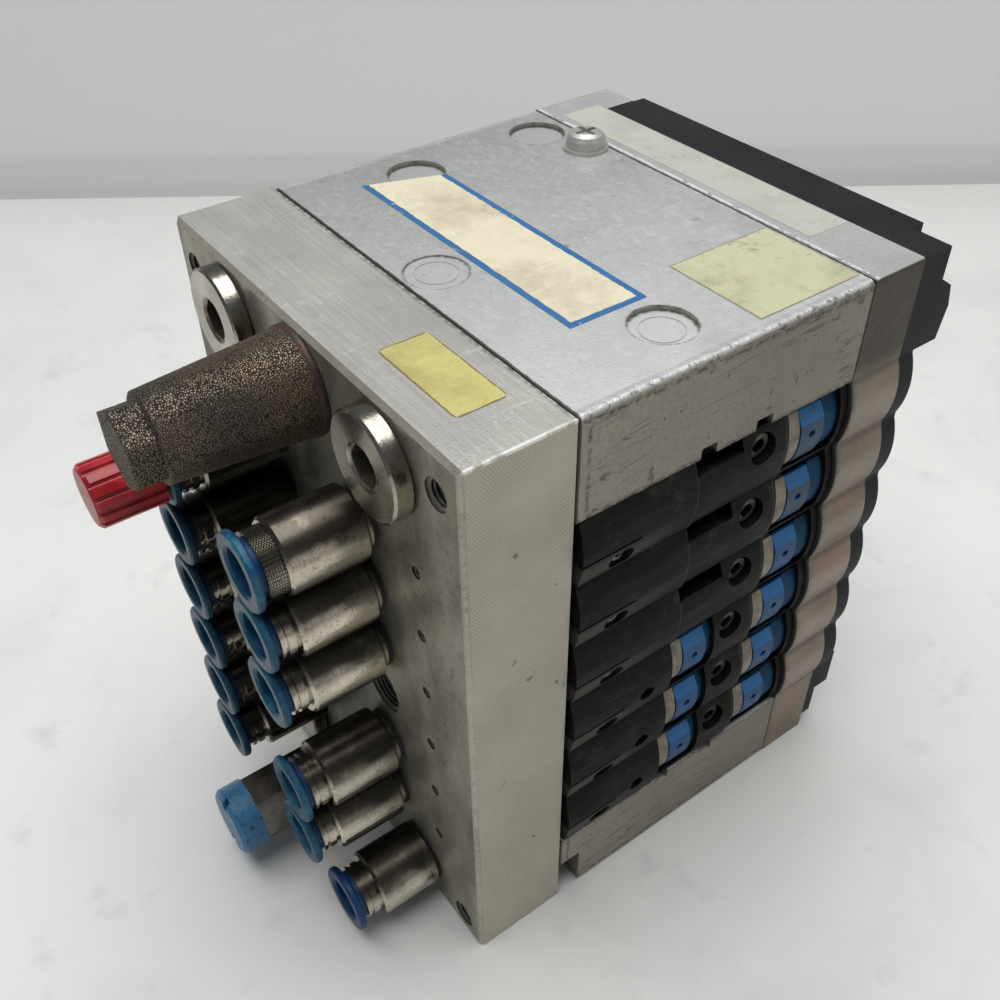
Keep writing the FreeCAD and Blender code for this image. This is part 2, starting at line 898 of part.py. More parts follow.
def valve_slice(label, row, double):
    body = start_body(label)

    # Neck behind the gasket, then three lengths of the bowed section, each a little narrower
    neck = start_sketch(body, "XZ_Plane", half_depth)
    neck_half = slice_side - s.slice_neck_inset
    draw_rectangle(neck, -neck_half, -slice_half, neck_half, slice_half)
    pad(body, neck, s.slice_neck_length, reverse=True)
    starts = (s.slice_neck_length, s.slice_front_reach, s.slice_middle_reach)
    ends = (s.slice_front_reach, s.slice_middle_reach, s.block_depth - s.slice_back_gap)
    for number, (begin, end) in enumerate(zip(starts, ends)):
        section = start_sketch(body, "XZ_Plane", half_depth - begin)
        side_outline(section, slice_half, s.slice_step * number, -slice_half, slice_half, s.slice_bulge)
        pad(body, section, end - begin, reverse=True)

    # Spool bore with a wider mouth for its cap, and the channels that cross it
    bore = start_sketch(body, "YZ_Plane", spool_bore_end)
    draw_circle(bore, s.spool_axis_offset, ZERO, s.spool_bore_radius)
    pocket(body, bore, s.stack_width)
    mouth = start_sketch(body, "YZ_Plane", s.cap_depth - slice_side)
    draw_circle(mouth, s.spool_axis_offset, ZERO, s.cap_radius + s.thread_clearance)
    pocket(body, mouth, s.cut_overrun)
    channels = start_sketch(body, "XY_Plane", -slice_half)
    for side in (-1, 0, 1):
        draw_circle(channels, side * half_supply, s.spool_axis_offset, s.passage_radius)
    pocket(body, channels, s.slice_pitch, reverse=True)
    ports = start_sketch(body, "XZ_Plane", half_depth)
    for side in (-1, 1):
        draw_circle(ports, side * half_ports, -s.port_row_drop, s.passage_radius)
    pocket(body, ports, half_depth + s.spool_axis_offset)

    # Holes for the plate screws and the tie rods
    screws = start_sketch(body, "XZ_Plane", half_depth)
    for side in (-1, 1):
        draw_circle(screws, side * plate_screw_column, -s.port_row_drop,
                    s.plate_screw_radius + s.thread_clearance)
    pocket(body, screws, s.plate_screw_reach + s.end_room)
    rods = start_sketch(body, "XY_Plane", -slice_half)
    for x, y in tie_places:
        draw_circle(rods, x, y, s.tie_radius + s.shank_clearance)
    pocket(body, rods, s.slice_pitch, reverse=True)

    # Slot line, label screw and pilot screw on the right side
    first = s.slice_neck_length - half_depth
    side_pocket(body, first, s.slot_reach - half_depth, -s.slot_drop - s.slot_width, -s.slot_drop,
                slice_side + s.slice_bulge / 2 - s.slot_depth)
    recess = start_sketch(body, "YZ_Plane", side_recess_floor)
    quarter = s.side_recess_length / 4
    draw_slot(recess, side_screw_place - quarter, side_screw_place + quarter,
              -s.side_screw_drop, s.side_recess_radius, quarter)
    pocket(body, recess, s.cut_overrun, reverse=True)
    side_hole(body, side_screw_place, -s.side_screw_drop, s.side_screw_radius + s.thread_clearance,
              side_screw_end)
    side_hole(body, pilot_screw_place, s.pilot_screw_rise,
              s.pilot_screw_radius + s.pilot_screw_room, pilot_screw_floor)
    side_hole(body, pilot_screw_place, s.pilot_screw_rise,
              s.pilot_shank_radius + s.thread_clearance, pilot_shank_end)

    override_recess(body, *rear_override)
    if double:
        override_recess(body, *front_override)
        side_hole(body, second_front - s.test_hole_gap, -s.slot_drop, s.test_hole_radius,
                  slice_side - s.test_hole_depth)
    else:
        back = pilot_screw_place - s.blank_pocket_gap
        side_pocket(body, back - s.blank_pocket_length, back, s.blank_pocket_height, slice_half,
                    slice_side - s.blank_pocket_depth)
    keep(place(body, z=slice_height(row)), label)


def bore_caps():
    """Screwed caps that close the spool bores on the left side."""
    radius = s.cap_radius
    outer = -slice_side
    inner = s.cap_depth - slice_side
    seed = turned_body("bore_cap_pattern", [
        (outer, ZERO), (inner, ZERO), (inner, radius), (outer, radius),
    ], axis="H_Axis")
    slot = start_sketch(seed, "YZ_Plane", outer)
    half_slot = s.cross_width / 2
    draw_rectangle(slot, -radius, -half_slot, radius, half_slot)
    pocket(seed, slot, s.slot_depth, reverse=True)
    places = [(ZERO, s.spool_axis_offset, slice_height(row)) for row in range(slice_total)]
    copies("bore_caps", seed, places)


def spool(label, row):
    """A spool with four lands, which slides along X in its slice."""
    start = s.cap_depth - slice_side + s.end_room
    end = spool_bore_end - s.end_room - s.spool_travel
    land = s.spool_bore_radius - s.spool_clearance
    waist = s.spool_waist_radius
    gap = (end - start - s.spool_land_length * 4) / 3
    outline = [(start, ZERO)]
    for number in range(4):
        left = start + (s.spool_land_length + gap) * number
        right = left + s.spool_land_length
        outline += [(left, land), (right, land)]
        if number < 3:
            outline += [(right, waist), (right + gap, waist)]
    outline.append((end, ZERO))
    body = turned_body(label, outline, axis="H_Axis")
    keep(place(body, y=s.spool_axis_offset, z=slice_height(row)), label)


# Manual overrides

def override_section(sketch, back, low, high, relief=ZERO):
    """A section that follows the slice's bowed side, a little inside it."""
    face = override_face - relief
    return draw_outline(
        sketch,
        [(back, low), (face, low), (face, high), (back, high)],
        {1: ((face + s.slice_bulge, (low + high) / 2), bow_radius(low, high, s.slice_bulge))},
    )


def bow_radius(low, high, bulge):
    """The radius of an arc between two heights that bows out by the bulge."""
    half = (high - low) / 2
    return (half * half + bulge * bulge) / (bulge * 2)


def override_places():
    """Every override: its name, its row, the front of its recess and its window's length."""
    places = []
    for row in range(slice_total):
        places.append((f"override_rear_{row + 1}", row, *rear_override))
        if row in DOUBLE_SLICES:
            places.append((f"override_front_{row + 1}", row, *front_override))
    return places


def override_seats():
    seed = start_body("override_seat_pattern")
    sketch = start_sketch(seed, "XZ_Plane")
    override_section(sketch, override_floor, -s.override_foot, s.override_top, s.slice_step)
    pad(seed, sketch, s.seat_length, reverse=True)
    copies("override_seats", seed, [
        (ZERO, front, slice_height(row)) for _, row, front, _ in override_places()
    ])


def light_windows():
    seeds = {}
    for name, (_, window) in (("rear", rear_override), ("front", front_override)):
        seed = start_body(f"{name}_window_pattern")
        sketch = start_sketch(seed, "XZ_Plane")
        override_section(sketch, override_floor, -s.override_foot, s.override_top, s.slice_step * 2)
        pad(seed, sketch, window, reverse=True)
        seeds[window] = seed
    mixed_copies("light_windows", [
        (seeds[window], ZERO, front + window_offset, slice_height(row))
        for _, row, front, window in override_places()
    ])


def override_button(label, row, front):
    """A button with a sloped top edge, on a stem that slides in the slice."""
    body = start_body(label)
    back = override_floor + s.button_back
    low = s.button_room - s.override_foot
    shoulder = s.button_shoulder
    top = s.override_top - s.button_room
    face = override_face
    middle = face + s.button_lip / 2 + s.button_face_bow
    sketch = start_sketch(body, "XZ_Plane", s.button_length / 2)
    draw_outline(
        sketch,
        [(back, low), (face, low), (face + s.button_lip, shoulder),
         (back + s.button_crest, top), (back, top)],
        {1: ((middle, (low + shoulder) / 2), bow_radius(low, shoulder, s.button_face_bow))},
    )
    pad(body, sketch, s.button_length, reverse=True)
    stem = start_sketch(body, "YZ_Plane", back)
    draw_circle(stem, ZERO, ZERO, s.stem_radius)
    pad(body, stem, s.stem_length, reverse=True)
    hole = start_sketch(body, "YZ_Plane", face + s.slice_bulge - s.button_hole_depth)
    draw_circle(hole, ZERO, ZERO, s.button_hole_radius)
    pocket(body, hole, s.cut_overrun, reverse=True)
    keep(place(body, y=front + button_offset, z=slice_height(row)), label)


def slice_screws():
    """The pilot screw and the small label screw of every slice."""
    face = pilot_screw_floor + s.pilot_screw_head
    end = pilot_shank_end + s.end_room
    radius = s.pilot_screw_radius
    pilot = turned_body("pilot_screw_pattern", [
        (end, ZERO), (face, ZERO), (face, radius - s.screw_edge), (face - s.screw_edge, radius),
        (pilot_screw_floor, radius), (pilot_screw_floor, s.pilot_shank_radius),
        (end, s.pilot_shank_radius),
    ], axis="H_Axis")
    socket = start_sketch(pilot, "YZ_Plane", face)
    draw_hexagon(socket, ZERO, ZERO, radius)
    pocket(pilot, socket, s.pilot_screw_head / 2)
    small_face = side_recess_floor + s.side_screw_head
    small_end = side_screw_end + s.end_room
    small = turned_body("label_screw_pattern", [
        (small_end, ZERO), (small_face, ZERO), (small_face, s.side_screw_radius),
        (small_end, s.side_screw_radius),
    ], axis="H_Axis")
    dimple = start_sketch(small, "YZ_Plane", small_face)
    draw_circle(dimple, ZERO, ZERO, s.side_screw_radius / 2)
    pocket(small, dimple, s.side_screw_head)
    mixed_copies("slice_screws", [
        (seed, ZERO, y, slice_height(row) + rise)
        for row in range(slice_total)
        for seed, y, rise in ((pilot, pilot_screw_place, s.pilot_screw_rise),
                              (small, side_screw_place, -s.side_screw_drop))
    ])


# Push-in fittings and release rings. Their local Y is 0 at the plate's face and runs outwards
# to negative values.

def fitting_seed(label, cut, knurled, supply):
    """A push-in fitting body. cut makes it shorter, knurled gives it a plain neck and supply
    gives it the wider stub of a supply port."""
    radius = s.fitting_radius
    edge = s.fitting_edge
    neck = s.knurl_radius if knurled else s.fitting_neck_radius
    body_end = cut - s.fitting_body_end
    neck_end = cut - s.fitting_neck_end
    groove = s.fitting_groove_depth
    width = s.fitting_groove_width
    outline = [(s.flow_radius, s.fitting_stub_length)]
    if supply:
        foot = s.plug_seal_thickness
        outline += [(supply_stub_radius, s.fitting_stub_length), (supply_stub_radius, -foot)]
    else:
        foot = s.fitting_foot
        outline += [
            (stub_radius, s.fitting_stub_length), (stub_radius, -s.seal_thickness),
            (s.fitting_neck_radius, -s.seal_thickness), (s.fitting_neck_radius, -foot),
        ]
    outline += [
        (radius - edge, -foot), (radius, -foot - edge), (radius, body_end + edge),
        (radius - edge, body_end),
    ]
    if knurled:
        outline += [(neck, body_end), (neck, neck_end)]
    else:
        outline += [(neck - groove, body_end), (neck - groove, body_end - width)]
        outline += [(neck, body_end - width), (neck, neck_end + width * 2)]
        outline += [(neck - groove, neck_end + width * 2), (neck - groove, neck_end + width)]
        outline += [(neck, neck_end + width), (neck, neck_end)]
    sleeve_end = neck_end + s.sleeve_bore_depth
    seat_end = sleeve_end + s.tube_seat_depth
    if supply:
        seat_end = seat_end - cut / 2
    outline += [
        (s.sleeve_bore_radius, neck_end), (s.sleeve_bore_radius, sleeve_end),
        (s.tube_seat_radius, sleeve_end), (s.tube_seat_radius, seat_end), (s.flow_radius, seat_end),
    ]
    return turned_body(label, outline)


def fittings():
    large = fitting_seed("knurled_fitting_pattern", ZERO, True, False)
    small = fitting_seed("grooved_fitting_pattern", ZERO, False, False)
    short = fitting_seed("short_fitting_pattern", s.short_fitting_cut, False, True)
    left = [(small, -half_ports, port_height(row)) for row in LEFT_FITTING_ROWS]
    right = [
        (large if row == 0 else small, half_ports, port_height(row)) for row in RIGHT_FITTING_ROWS
    ]
    right.append((short, half_supply, s.supply_inset))
    for label, parts in (("fittings_left", left), ("fittings_right", right)):
        mixed_copies(label, [(seed, x, plate_front, z) for seed, x, z in parts])


def release_ring(label, x, z, cut, radius):
    """A release ring: a flange outside the fitting and a sleeve that slides in its neck."""
    back = cut - s.fitting_neck_end - s.ring_gap
    front = back - s.ring_thickness
    sleeve = s.sleeve_bore_radius - s.sleeve_clearance
    sleeve_end = cut - s.fitting_neck_end + s.sleeve_bore_depth - s.ring_travel - s.head_room
    edge = s.ring_edge
    body = turned_body(label, [
        (s.ring_bore_radius + s.ring_funnel, front), (radius - edge, front),
        (radius, front + edge), (radius, back - edge), (radius - edge, back), (sleeve, back),
        (sleeve, sleeve_end), (s.ring_bore_radius, sleeve_end),
        (s.ring_bore_radius, front + s.ring_funnel),
    ])
    keep(place(body, x=x, y=plate_front, z=z), label)


def release_rings():
    for row in LEFT_FITTING_ROWS:
        release_ring(f"ring_left_{row + 1}", -half_ports, port_height(row), ZERO, s.ring_radius)
    for row in RIGHT_FITTING_ROWS:
        radius = s.large_ring_radius if row == 0 else s.ring_radius
        release_ring(f"ring_right_{row + 1}", half_ports, port_height(row), ZERO, radius)
    release_ring("ring_supply", half_supply, s.supply_inset, s.short_fitting_cut, s.ring_radius)


def blanking_plug():
    """The ribbed plug pushed into the first left fitting."""
    shank_end = s.sleeve_bore_depth + s.tube_seat_depth - s.fitting_neck_end - s.head_room
    head_back = -s.fitting_neck_end - s.ring_gap - s.ring_thickness - s.blank_neck_gap
    head_front = head_back - s.blank_head_length
    radius = s.blank_head_radius
    edge = s.blank_edge
    body = turned_body("blanking_plug", [
        (ZERO, head_front), (radius - edge, head_front), (radius, head_front + edge),
        (radius, head_back), (s.blank_shank_radius, head_back),
        (s.blank_shank_radius, shank_end - edge), (s.blank_shank_radius - edge, shank_end),
        (ZERO, shank_end),
    ])
    groove = start_sketch(body, "XZ_Plane", -head_back)
    draw_circle(groove, radius, ZERO, s.rib_radius)
    cut = pocket(body, groove, s.blank_head_length, reverse=True)
    pattern_polar(body, cut, "Y_Axis", int(SIZES["rib_count"]))
    keep(place(body, x=-half_ports, y=plate_front, z=port_height(0)), "blanking_plug")


def port_seals():
    """Seal rings under the fittings and under the plugs."""
    small = turned_body("port_seal_pattern", [
        (stub_radius + s.thread_clearance, ZERO), (stub_radius + s.seal_width, ZERO),
        (stub_radius + s.seal_width, -s.seal_thickness),
        (stub_radius + s.thread_clearance, -s.seal_thickness),
    ])
    wide, narrow = (
        turned_body(f"{name}_seal_pattern", [
            (supply_stub_radius + s.thread_clearance, ZERO), (outer, ZERO),
            (outer, -s.plug_seal_thickness),
            (supply_stub_radius + s.thread_clearance, -s.plug_seal_thickness),
        ])
        for name, outer in (("plug", s.plug_radius - s.seal_inset),
                            ("supply", s.fitting_radius - s.seal_inset))
    )
    places = [(small, -half_ports, port_height(row)) for row in LEFT_FITTING_ROWS]
    places += [(small, half_ports, port_height(row)) for row in RIGHT_FITTING_ROWS]
    places += [(wide, x, z) for x, z in plug_places()]
    places.append((narrow, half_supply, s.supply_inset))
    mixed_copies("port_seals", [(seed, x, plate_front, z) for seed, x, z in places])


def plug_places():
    return [
        (-half_supply, upper_supply_height), (half_supply, upper_supply_height),
        (-half_supply, s.supply_inset),
    ]


def port_plugs():
    """Hexagon socket plugs with a broad flange and a bevel round the socket."""
    seat = -s.plug_seal_thickness
    front = seat - s.plug_flange
    radius = s.plug_radius
    edge = s.plug_edge
    bevel = s.plug_bevel_radius
    corner = s.plug_socket_across * HEX_CORNER
    seed = turned_body("port_plug_pattern", [
        (ZERO, front + bevel - corner), (corner, front + bevel - corner), (bevel, front),
        (radius - edge, front), (radius, front + edge), (radius, seat), (supply_stub_radius, seat),
        (supply_stub_radius, s.plug_stub_length), (ZERO, s.plug_stub_length),
    ])
    socket = start_sketch(seed, "XZ_Plane", -front)
    draw_hexagon(socket, ZERO, ZERO, s.plug_socket_across)
    pocket(seed, socket, s.plug_socket_depth)
    copies("port_plugs", seed, [(x, plate_front, z) for x, z in plug_places()])


def silencer():
    """The exhaust silencer: a hollow sintered cone with a hexagon at its closed end."""
    rim = s.silencer_rim
    base = s.silencer_base_radius
    tip = s.silencer_tip_radius
    bore = s.silencer_bore_radius
    edge = s.fitting_edge
    body = turned_body("silencer", [
        (bore, s.supply_stub_length), (supply_stub_radius, s.supply_stub_length),
        (supply_stub_radius, ZERO), (s.silencer_rim_radius, ZERO), (s.silencer_rim_radius, -rim),
        (base, -rim), (tip, edge - s.silencer_cone_end), (tip - edge, -s.silencer_cone_end),
        (ZERO, -s.silencer_cone_end), (ZERO, tip - s.silencer_cone_end),
        (bore, tip - s.silencer_cone_end),
    ])
    hexagon = start_sketch(body, "XZ_Plane", s.silencer_cone_end)
    draw_hexagon(hexagon, ZERO, ZERO, s.silencer_hex_across)
    pad(body, hexagon, s.silencer_end - s.silencer_cone_end)
    keep(place(body, y=plate_front, z=upper_supply_height), "silencer")


def centre_supply_fitting():
    hex_corner = s.supply_hex_across * HEX_CORNER
    body = turned_body("centre_supply_fitting", [
        (s.supply_flow_radius, s.supply_stub_length),
        (supply_stub_radius, s.supply_stub_length), (supply_stub_radius, ZERO),
        (hex_corner, ZERO), (hex_corner, -s.supply_hex_start),
        (s.supply_spigot_radius, -s.supply_hex_start),
        (s.supply_spigot_radius, -s.supply_spigot_end), (s.supply_flow_radius, -s.supply_spigot_end),
    ])
    hexagon = start_sketch(body, "XZ_Plane", s.supply_hex_start)
    draw_hexagon(hexagon, ZERO, ZERO, s.supply_hex_across)
    draw_circle(hexagon, ZERO, ZERO, s.supply_spigot_radius - s.thread_clearance)
    pad(body, hexagon, s.supply_body_end - s.supply_hex_start)
    x, z = centre_supply_place
    keep(place(body, x=x, y=plate_front, z=z), "centre_supply_fitting")


def supply_cap():
    """The slotted cap on the centre supply fitting."""
    back = -s.supply_body_end
    roof = -s.supply_spigot_end - s.supply_cap_room
    front = roof - s.supply_cap_wall
    radius = s.supply_cap_radius
    edge = s.supply_cap_edge
    inner = s.supply_spigot_radius + s.thread_clearance
    body = turned_body("supply_cap", [
        (ZERO, front), (radius - edge, front), (radius, front + edge), (radius, back),
        (inner, back), (inner, roof), (ZERO, roof),
    ])
    slots = start_sketch(body, "XZ_Plane", -front)
    half_slot = s.cap_slot_width / 2
    for side in (-1, 1):
        outer = radius * side
        within = outer - s.cap_slot_length * side
        low, high = (within, outer) if side > 0 else (outer, within)
        draw_rectangle(slots, -half_slot, low, half_slot, high)
    pocket(body, slots, s.cap_slot_depth)
    x, z = centre_supply_place
    keep(place(body, x=x, y=plate_front, z=z), "supply_cap")


# Electrical node: housing, board, cover and connector

def scallops(body, depth, front):
    """The bowed bulges that carry the slices' outline on along the right side."""
    sketch = start_sketch(body, "XZ_Plane", -front)
    low = slice_height(slice_total - 1) - slice_half
    high = slice_height(slice_total - 1) + slice_half
    chord = slice_side - s.housing_side_wall / 2
    edge = slice_side
    draw_outline(
        sketch,
        [(chord, low), (edge, low), (edge, high), (chord, high)],
        {1: ((edge + s.slice_bulge, (low + high) / 2), arc_radius)},
    )
    bulge = pad(body, sketch, depth, reverse=True)
    pattern_line(body, bulge, "Z_Axis", s.slice_pitch, slice_total)


def screw_places():
    return [
        (side * (half_width - s.cover_screw_inset), height)
        for side in (-1, 1)
        for height in (s.cover_screw_low, stack_top - s.cover_screw_high_drop)
    ]


room_left = s.housing_strip_width - half_width
room_right = half_width - s.housing_side_wall
board_front = half_depth + s.housing_wall + s.board_standoff


def board_corners():
    inset = s.board_clearance + s.board_boss_radius
    return [
        (x, z)
        for x in (room_left + inset, room_right - inset)
        for z in (s.housing_end_wall + inset, stack_top - s.housing_end_wall - inset)
    ]


def node_housing():
    body = start_body("node_housing")
    section = start_sketch(body, "XZ_Plane", -half_depth)
    draw_rectangle(section, -half_width, ZERO, half_width, stack_top)
    pad(body, section, s.housing_depth, reverse=True)
    strip = start_sketch(body, "XZ_Plane", -housing_back)
    draw_rectangle(strip, -half_width, ZERO, s.housing_strip_width - half_width, stack_top)
    pad(body, strip, s.housing_strip_depth, reverse=True)
    dress(body, "Fillet", s.housing_edge, lambda box: close_to(box.ZMin, stack_top.value)
          and close_to(box.XMin, half_width.value))
    scallops(body, s.housing_depth, half_depth)

    # Pocket for the circuit board, with bosses and a window behind each slice
    room = start_sketch(body, "XZ_Plane", -half_depth - s.housing_wall)
    draw_rectangle(room, room_left, s.housing_end_wall, room_right, stack_top - s.housing_end_wall)
    pocket(body, room, s.housing_depth)
    bosses = start_sketch(body, "XZ_Plane", -half_depth - s.housing_wall)
    for x, z in board_corners():
        draw_circle(bosses, x, z, s.board_boss_radius)
    pad(body, bosses, s.board_standoff, reverse=True)
    windows = start_sketch(body, "XZ_Plane", -half_depth)
    for row in range(slice_total):
        low = slice_height(row) - s.contact_window_height / 2
        draw_rectangle(windows, -s.contact_window_width / 2, low,
                       s.contact_window_width / 2, low + s.contact_window_height)
    pocket(body, windows, s.housing_wall)
    threads = start_sketch(body, "XZ_Plane", -housing_back)
    for x, z in screw_places():
        draw_circle(threads, x, z, s.cover_screw_radius + s.thread_clearance)
    pocket(body, threads, s.cover_screw_grip + s.end_room, reverse=True)
    keep(place(body), "node_housing")


def housing_gasket():
    """The seal between the slices and the housing, which shows as a dark line."""
    body = start_body("housing_gasket")
    sketch = start_sketch(body, "XZ_Plane", s.slice_back_gap - half_depth)
    low = s.end_plate_thickness + s.slice_gap
    high = upper_plate_base - s.slice_gap
    draw_rectangle(sketch, -slice_side, low, slice_side, high)
    for row in range(slice_total):
        base = slice_height(row) - s.contact_window_height / 2
        draw_rectangle(sketch, -s.contact_window_width / 2, base,
                       s.contact_window_width / 2, base + s.contact_window_height)
    pad(body, sketch, s.slice_back_gap, reverse=True)
    scallops(body, s.slice_back_gap, half_depth - s.slice_back_gap)
    keep(place(body), "housing_gasket")


def circuit_board():
    """The board with a contact block for each slice."""
    body = start_body("circuit_board")
    sketch = start_sketch(body, "XZ_Plane", -board_front)
    gap = s.board_clearance
    draw_rectangle(sketch, room_left + gap, s.housing_end_wall + gap,
                   room_right - gap, stack_top - s.housing_end_wall - gap)
    pad(body, sketch, s.board_thickness, reverse=True)
    contacts = start_sketch(body, "XZ_Plane", -board_front)
    half_block = s.contact_window_width / 2 - gap
    for row in range(slice_total):
        low = slice_height(row) - s.contact_window_height / 2 + gap
        draw_rectangle(contacts, -half_block, low, half_block, low + s.contact_window_height - gap * 2)
    pad(body, contacts, s.contact_head)
    keep(place(body), "circuit_board")


def cover_strip(body, left, right, corners):
    """A length of the cover along X with the given section across it."""
    sketch = start_sketch(body, "YZ_Plane", left)
    draw_outline(sketch, corners)
    return pad(body, sketch, right - left)


def node_cover():
    body = start_body("node_cover")
    front = housing_back
    left = room_left + s.cover_seam
    base = front + s.cover_base
    top_back = front + s.cover_top_step
    rail_back = front + s.cover_rail_depth
    rail_low = stack_top - s.cover_rail_low_drop
    rail_high = stack_top - s.cover_rail_high_drop
    lump_back = front + s.cover_lump_depth
    toe_back = front + s.cover_toe_depth
    bevel = s.cover_rail_bevel
    cover_strip(body, left, half_width - s.cover_block_inset, [
        (front, s.cover_lump_high), (cover_block_back, s.cover_lump_high),
        (cover_block_back, stack_top), (front, stack_top),
    ])
    dress(body, "Chamfer", s.cover_edge, lambda box: close_to(box.YMin, cover_block_back.value)
          and close_to(box.YMax, cover_block_back.value))
    cover_strip(body, left, half_width, [
        (front, s.cover_foot_height), (toe_back, s.cover_foot_height), (toe_back, s.cover_lump_low),
        (lump_back, s.cover_lump_low), (lump_back, s.cover_lump_high),
        (base, s.cover_lump_high + s.cover_lump_slope),
        (base, rail_low), (rail_back - bevel, rail_low), (rail_back, rail_low + s.cover_rail_crest),
        (rail_back - bevel, rail_high), (top_back, stack_top - s.cover_upper_drop),
        (top_back, stack_top), (front, stack_top),
    ])
    scallops(body, s.cover_base, front)

    # Opening for the connector and sinks for the screws
    opening = start_sketch(body, "XZ_Plane", -front)
    half_long = s.connector_shell_width / 2
    half_high = s.connector_shell_height / 2
    draw_rectangle(opening, -half_long, s.connector_height - half_high,
                   half_long, s.connector_height + half_high)
    pocket(body, opening, s.cover_block_depth)
    holes = start_sketch(body, "XZ_Plane", -front)
    for x, z in screw_places():
        draw_circle(holes, x, z, s.cover_screw_radius + s.shank_clearance)
    pocket(body, holes, s.cover_block_depth)
    sinks = start_sketch(body, "XZ_Plane", -front - s.cover_screw_seat)
    for x, z in [spot for spot in screw_places() if spot[1].value > s.connector_height.value]:
        draw_circle(sinks, x, z, s.cover_screw_head_radius + s.head_room)
    pocket(body, sinks, s.cover_block_depth)
    keep(place(body), "node_cover")


def cover_screws():
    """Cross recess screws that hold the cover on the housing."""
    upper = cover_screw_seed("upper_cover_screw_pattern", s.cover_screw_seat)
    lower = cover_screw_seed("lower_cover_screw_pattern", s.cover_toe_depth)
    mixed_copies("cover_screws", [
        (upper if z.value > s.connector_height.value else lower, x, housing_back, z)
        for x, z in screw_places()
    ])


def cover_screw_seed(label, seat):
    radius = s.cover_screw_radius
    head = s.cover_screw_head_radius
    edge = s.screw_edge
    grip = -s.cover_screw_grip
    top = seat + s.cover_screw_head
    seed = turned_body(label, [
        (ZERO, grip), (radius, grip), (radius, seat), (head, seat), (head, top - edge),
        (head - edge, top), (ZERO, top),
    ])
    cross = start_sketch(seed, "XZ_Plane", -top)
    draw_cross(cross, s.cross_width, s.small_cross_length)
    pocket(seed, cross, s.cross_depth, reverse=True)
    return seed


def draw_cross(sketch, width, length):
    """A plus sign centred on the sketch's origin."""
    half = width / 2
    long = length / 2
    return draw_outline(sketch, [
        (-half, -long), (half, -long), (half, -half), (long, -half), (long, half), (half, half),
        (half, long), (-half, long), (-half, half), (-long, half), (-long, -half), (-half, -half),
    ])


def earth_screw():
    """Pan head screw with a captive washer on the upper end plate."""
    head = s.earth_head_radius
    washer = s.earth_washer
    top = washer + s.earth_head_height
    body = turned_body("earth_screw", [
        (ZERO, -s.earth_screw_depth), (s.earth_screw_radius, -s.earth_screw_depth),
        (s.earth_screw_radius, ZERO), (s.earth_washer_radius, ZERO),
        (s.earth_washer_radius, washer), (head, washer), (head, washer + s.earth_head_side),
        (s.earth_shoulder_radius, top - s.earth_shoulder_drop), (s.earth_flat_radius, top),
        (ZERO, top),
    ], plane="XZ_Plane")
    cross = start_sketch(body, "XY_Plane", top)
    draw_cross(cross, s.cross_width, s.cross_length)
    pocket(body, cross, s.cross_depth)
    keep(place(body, *earth_screw_place, stack_top), "earth_screw")


def shell_corners(width, height):
    """The D shape of a multi-pin connector, wider at its top."""
    slant = math.tan(math.radians(SIZES["connector_slant"]))
    half = width / 2
    low = s.connector_height - height / 2
    high = s.connector_height + height / 2
    return [(height * slant - half, low), (half - height * slant, low), (half, high), (-half, high)]


def connector():
    back = cover_block_back
    width = s.connector_shell_width
    height = s.connector_shell_height
    wall = s.connector_shell_wall * 2
    shell = start_body("connector_shell")
    flange = start_sketch(shell, "XZ_Plane", -back)
    half_flange = s.connector_flange_width / 2
    half_high = s.connector_flange_height / 2
    draw_rectangle(flange, -half_flange, s.connector_height - half_high,
                   half_flange, s.connector_height + half_high)
    pad(shell, flange, s.connector_flange, reverse=True)
    tube = start_sketch(shell, "XZ_Plane", -back - s.connector_flange)
    draw_outline(tube, shell_corners(width, height))
    pad(shell, tube, s.connector_shell_reach, reverse=True)
    hollow = start_sketch(shell, "XZ_Plane", -back)
    draw_outline(hollow, shell_corners(width - wall, height - wall))
    pocket(shell, hollow, s.connector_shell_reach + s.connector_flange)
    keep(place(shell), "connector_shell")

    insert = start_body("connector_insert")
    gap = s.connector_insert_gap * 2
    front = board_front + s.board_thickness
    section = start_sketch(insert, "XZ_Plane", -front)
    draw_outline(section, shell_corners(width - wall - gap, height - wall - gap))
    face = back + s.connector_flange + s.connector_insert_reach
    pad(insert, section, face - front, reverse=True)
    sockets = start_sketch(insert, "XZ_Plane", -face)
    side = s.pin_side
    for x, z in pin_places():
        draw_rectangle(sockets, x - side / 2, z - side / 2, x + side / 2, z + side / 2)
    pocket(insert, sockets, s.pin_root, reverse=True)
    keep(place(insert), "connector_insert")

    seed = start_body("connector_pin_pattern")
    square = start_sketch(seed, "XZ_Plane")
    draw_rectangle(square, -side / 2, -side / 2, side / 2, side / 2)
    pad(seed, square, s.pin_root + s.pin_reach - s.connector_insert_reach, reverse=True)
    copies("connector_pins", seed, [(x, face - s.pin_root, z) for x, z in pin_places()])


def pin_places():
    upper = [
        (s.pin_pitch * (number - (PINS_UPPER_ROW - 1) / 2), s.connector_height + s.pin_row_spacing / 2)
        for number in range(PINS_UPPER_ROW)
    ]
    lower = [
        (s.pin_pitch * (number - (PINS_LOWER_ROW - 1) / 2), s.connector_height - s.pin_row_spacing / 2)
        for number in range(PINS_LOWER_ROW)
    ]
    return upper + lower


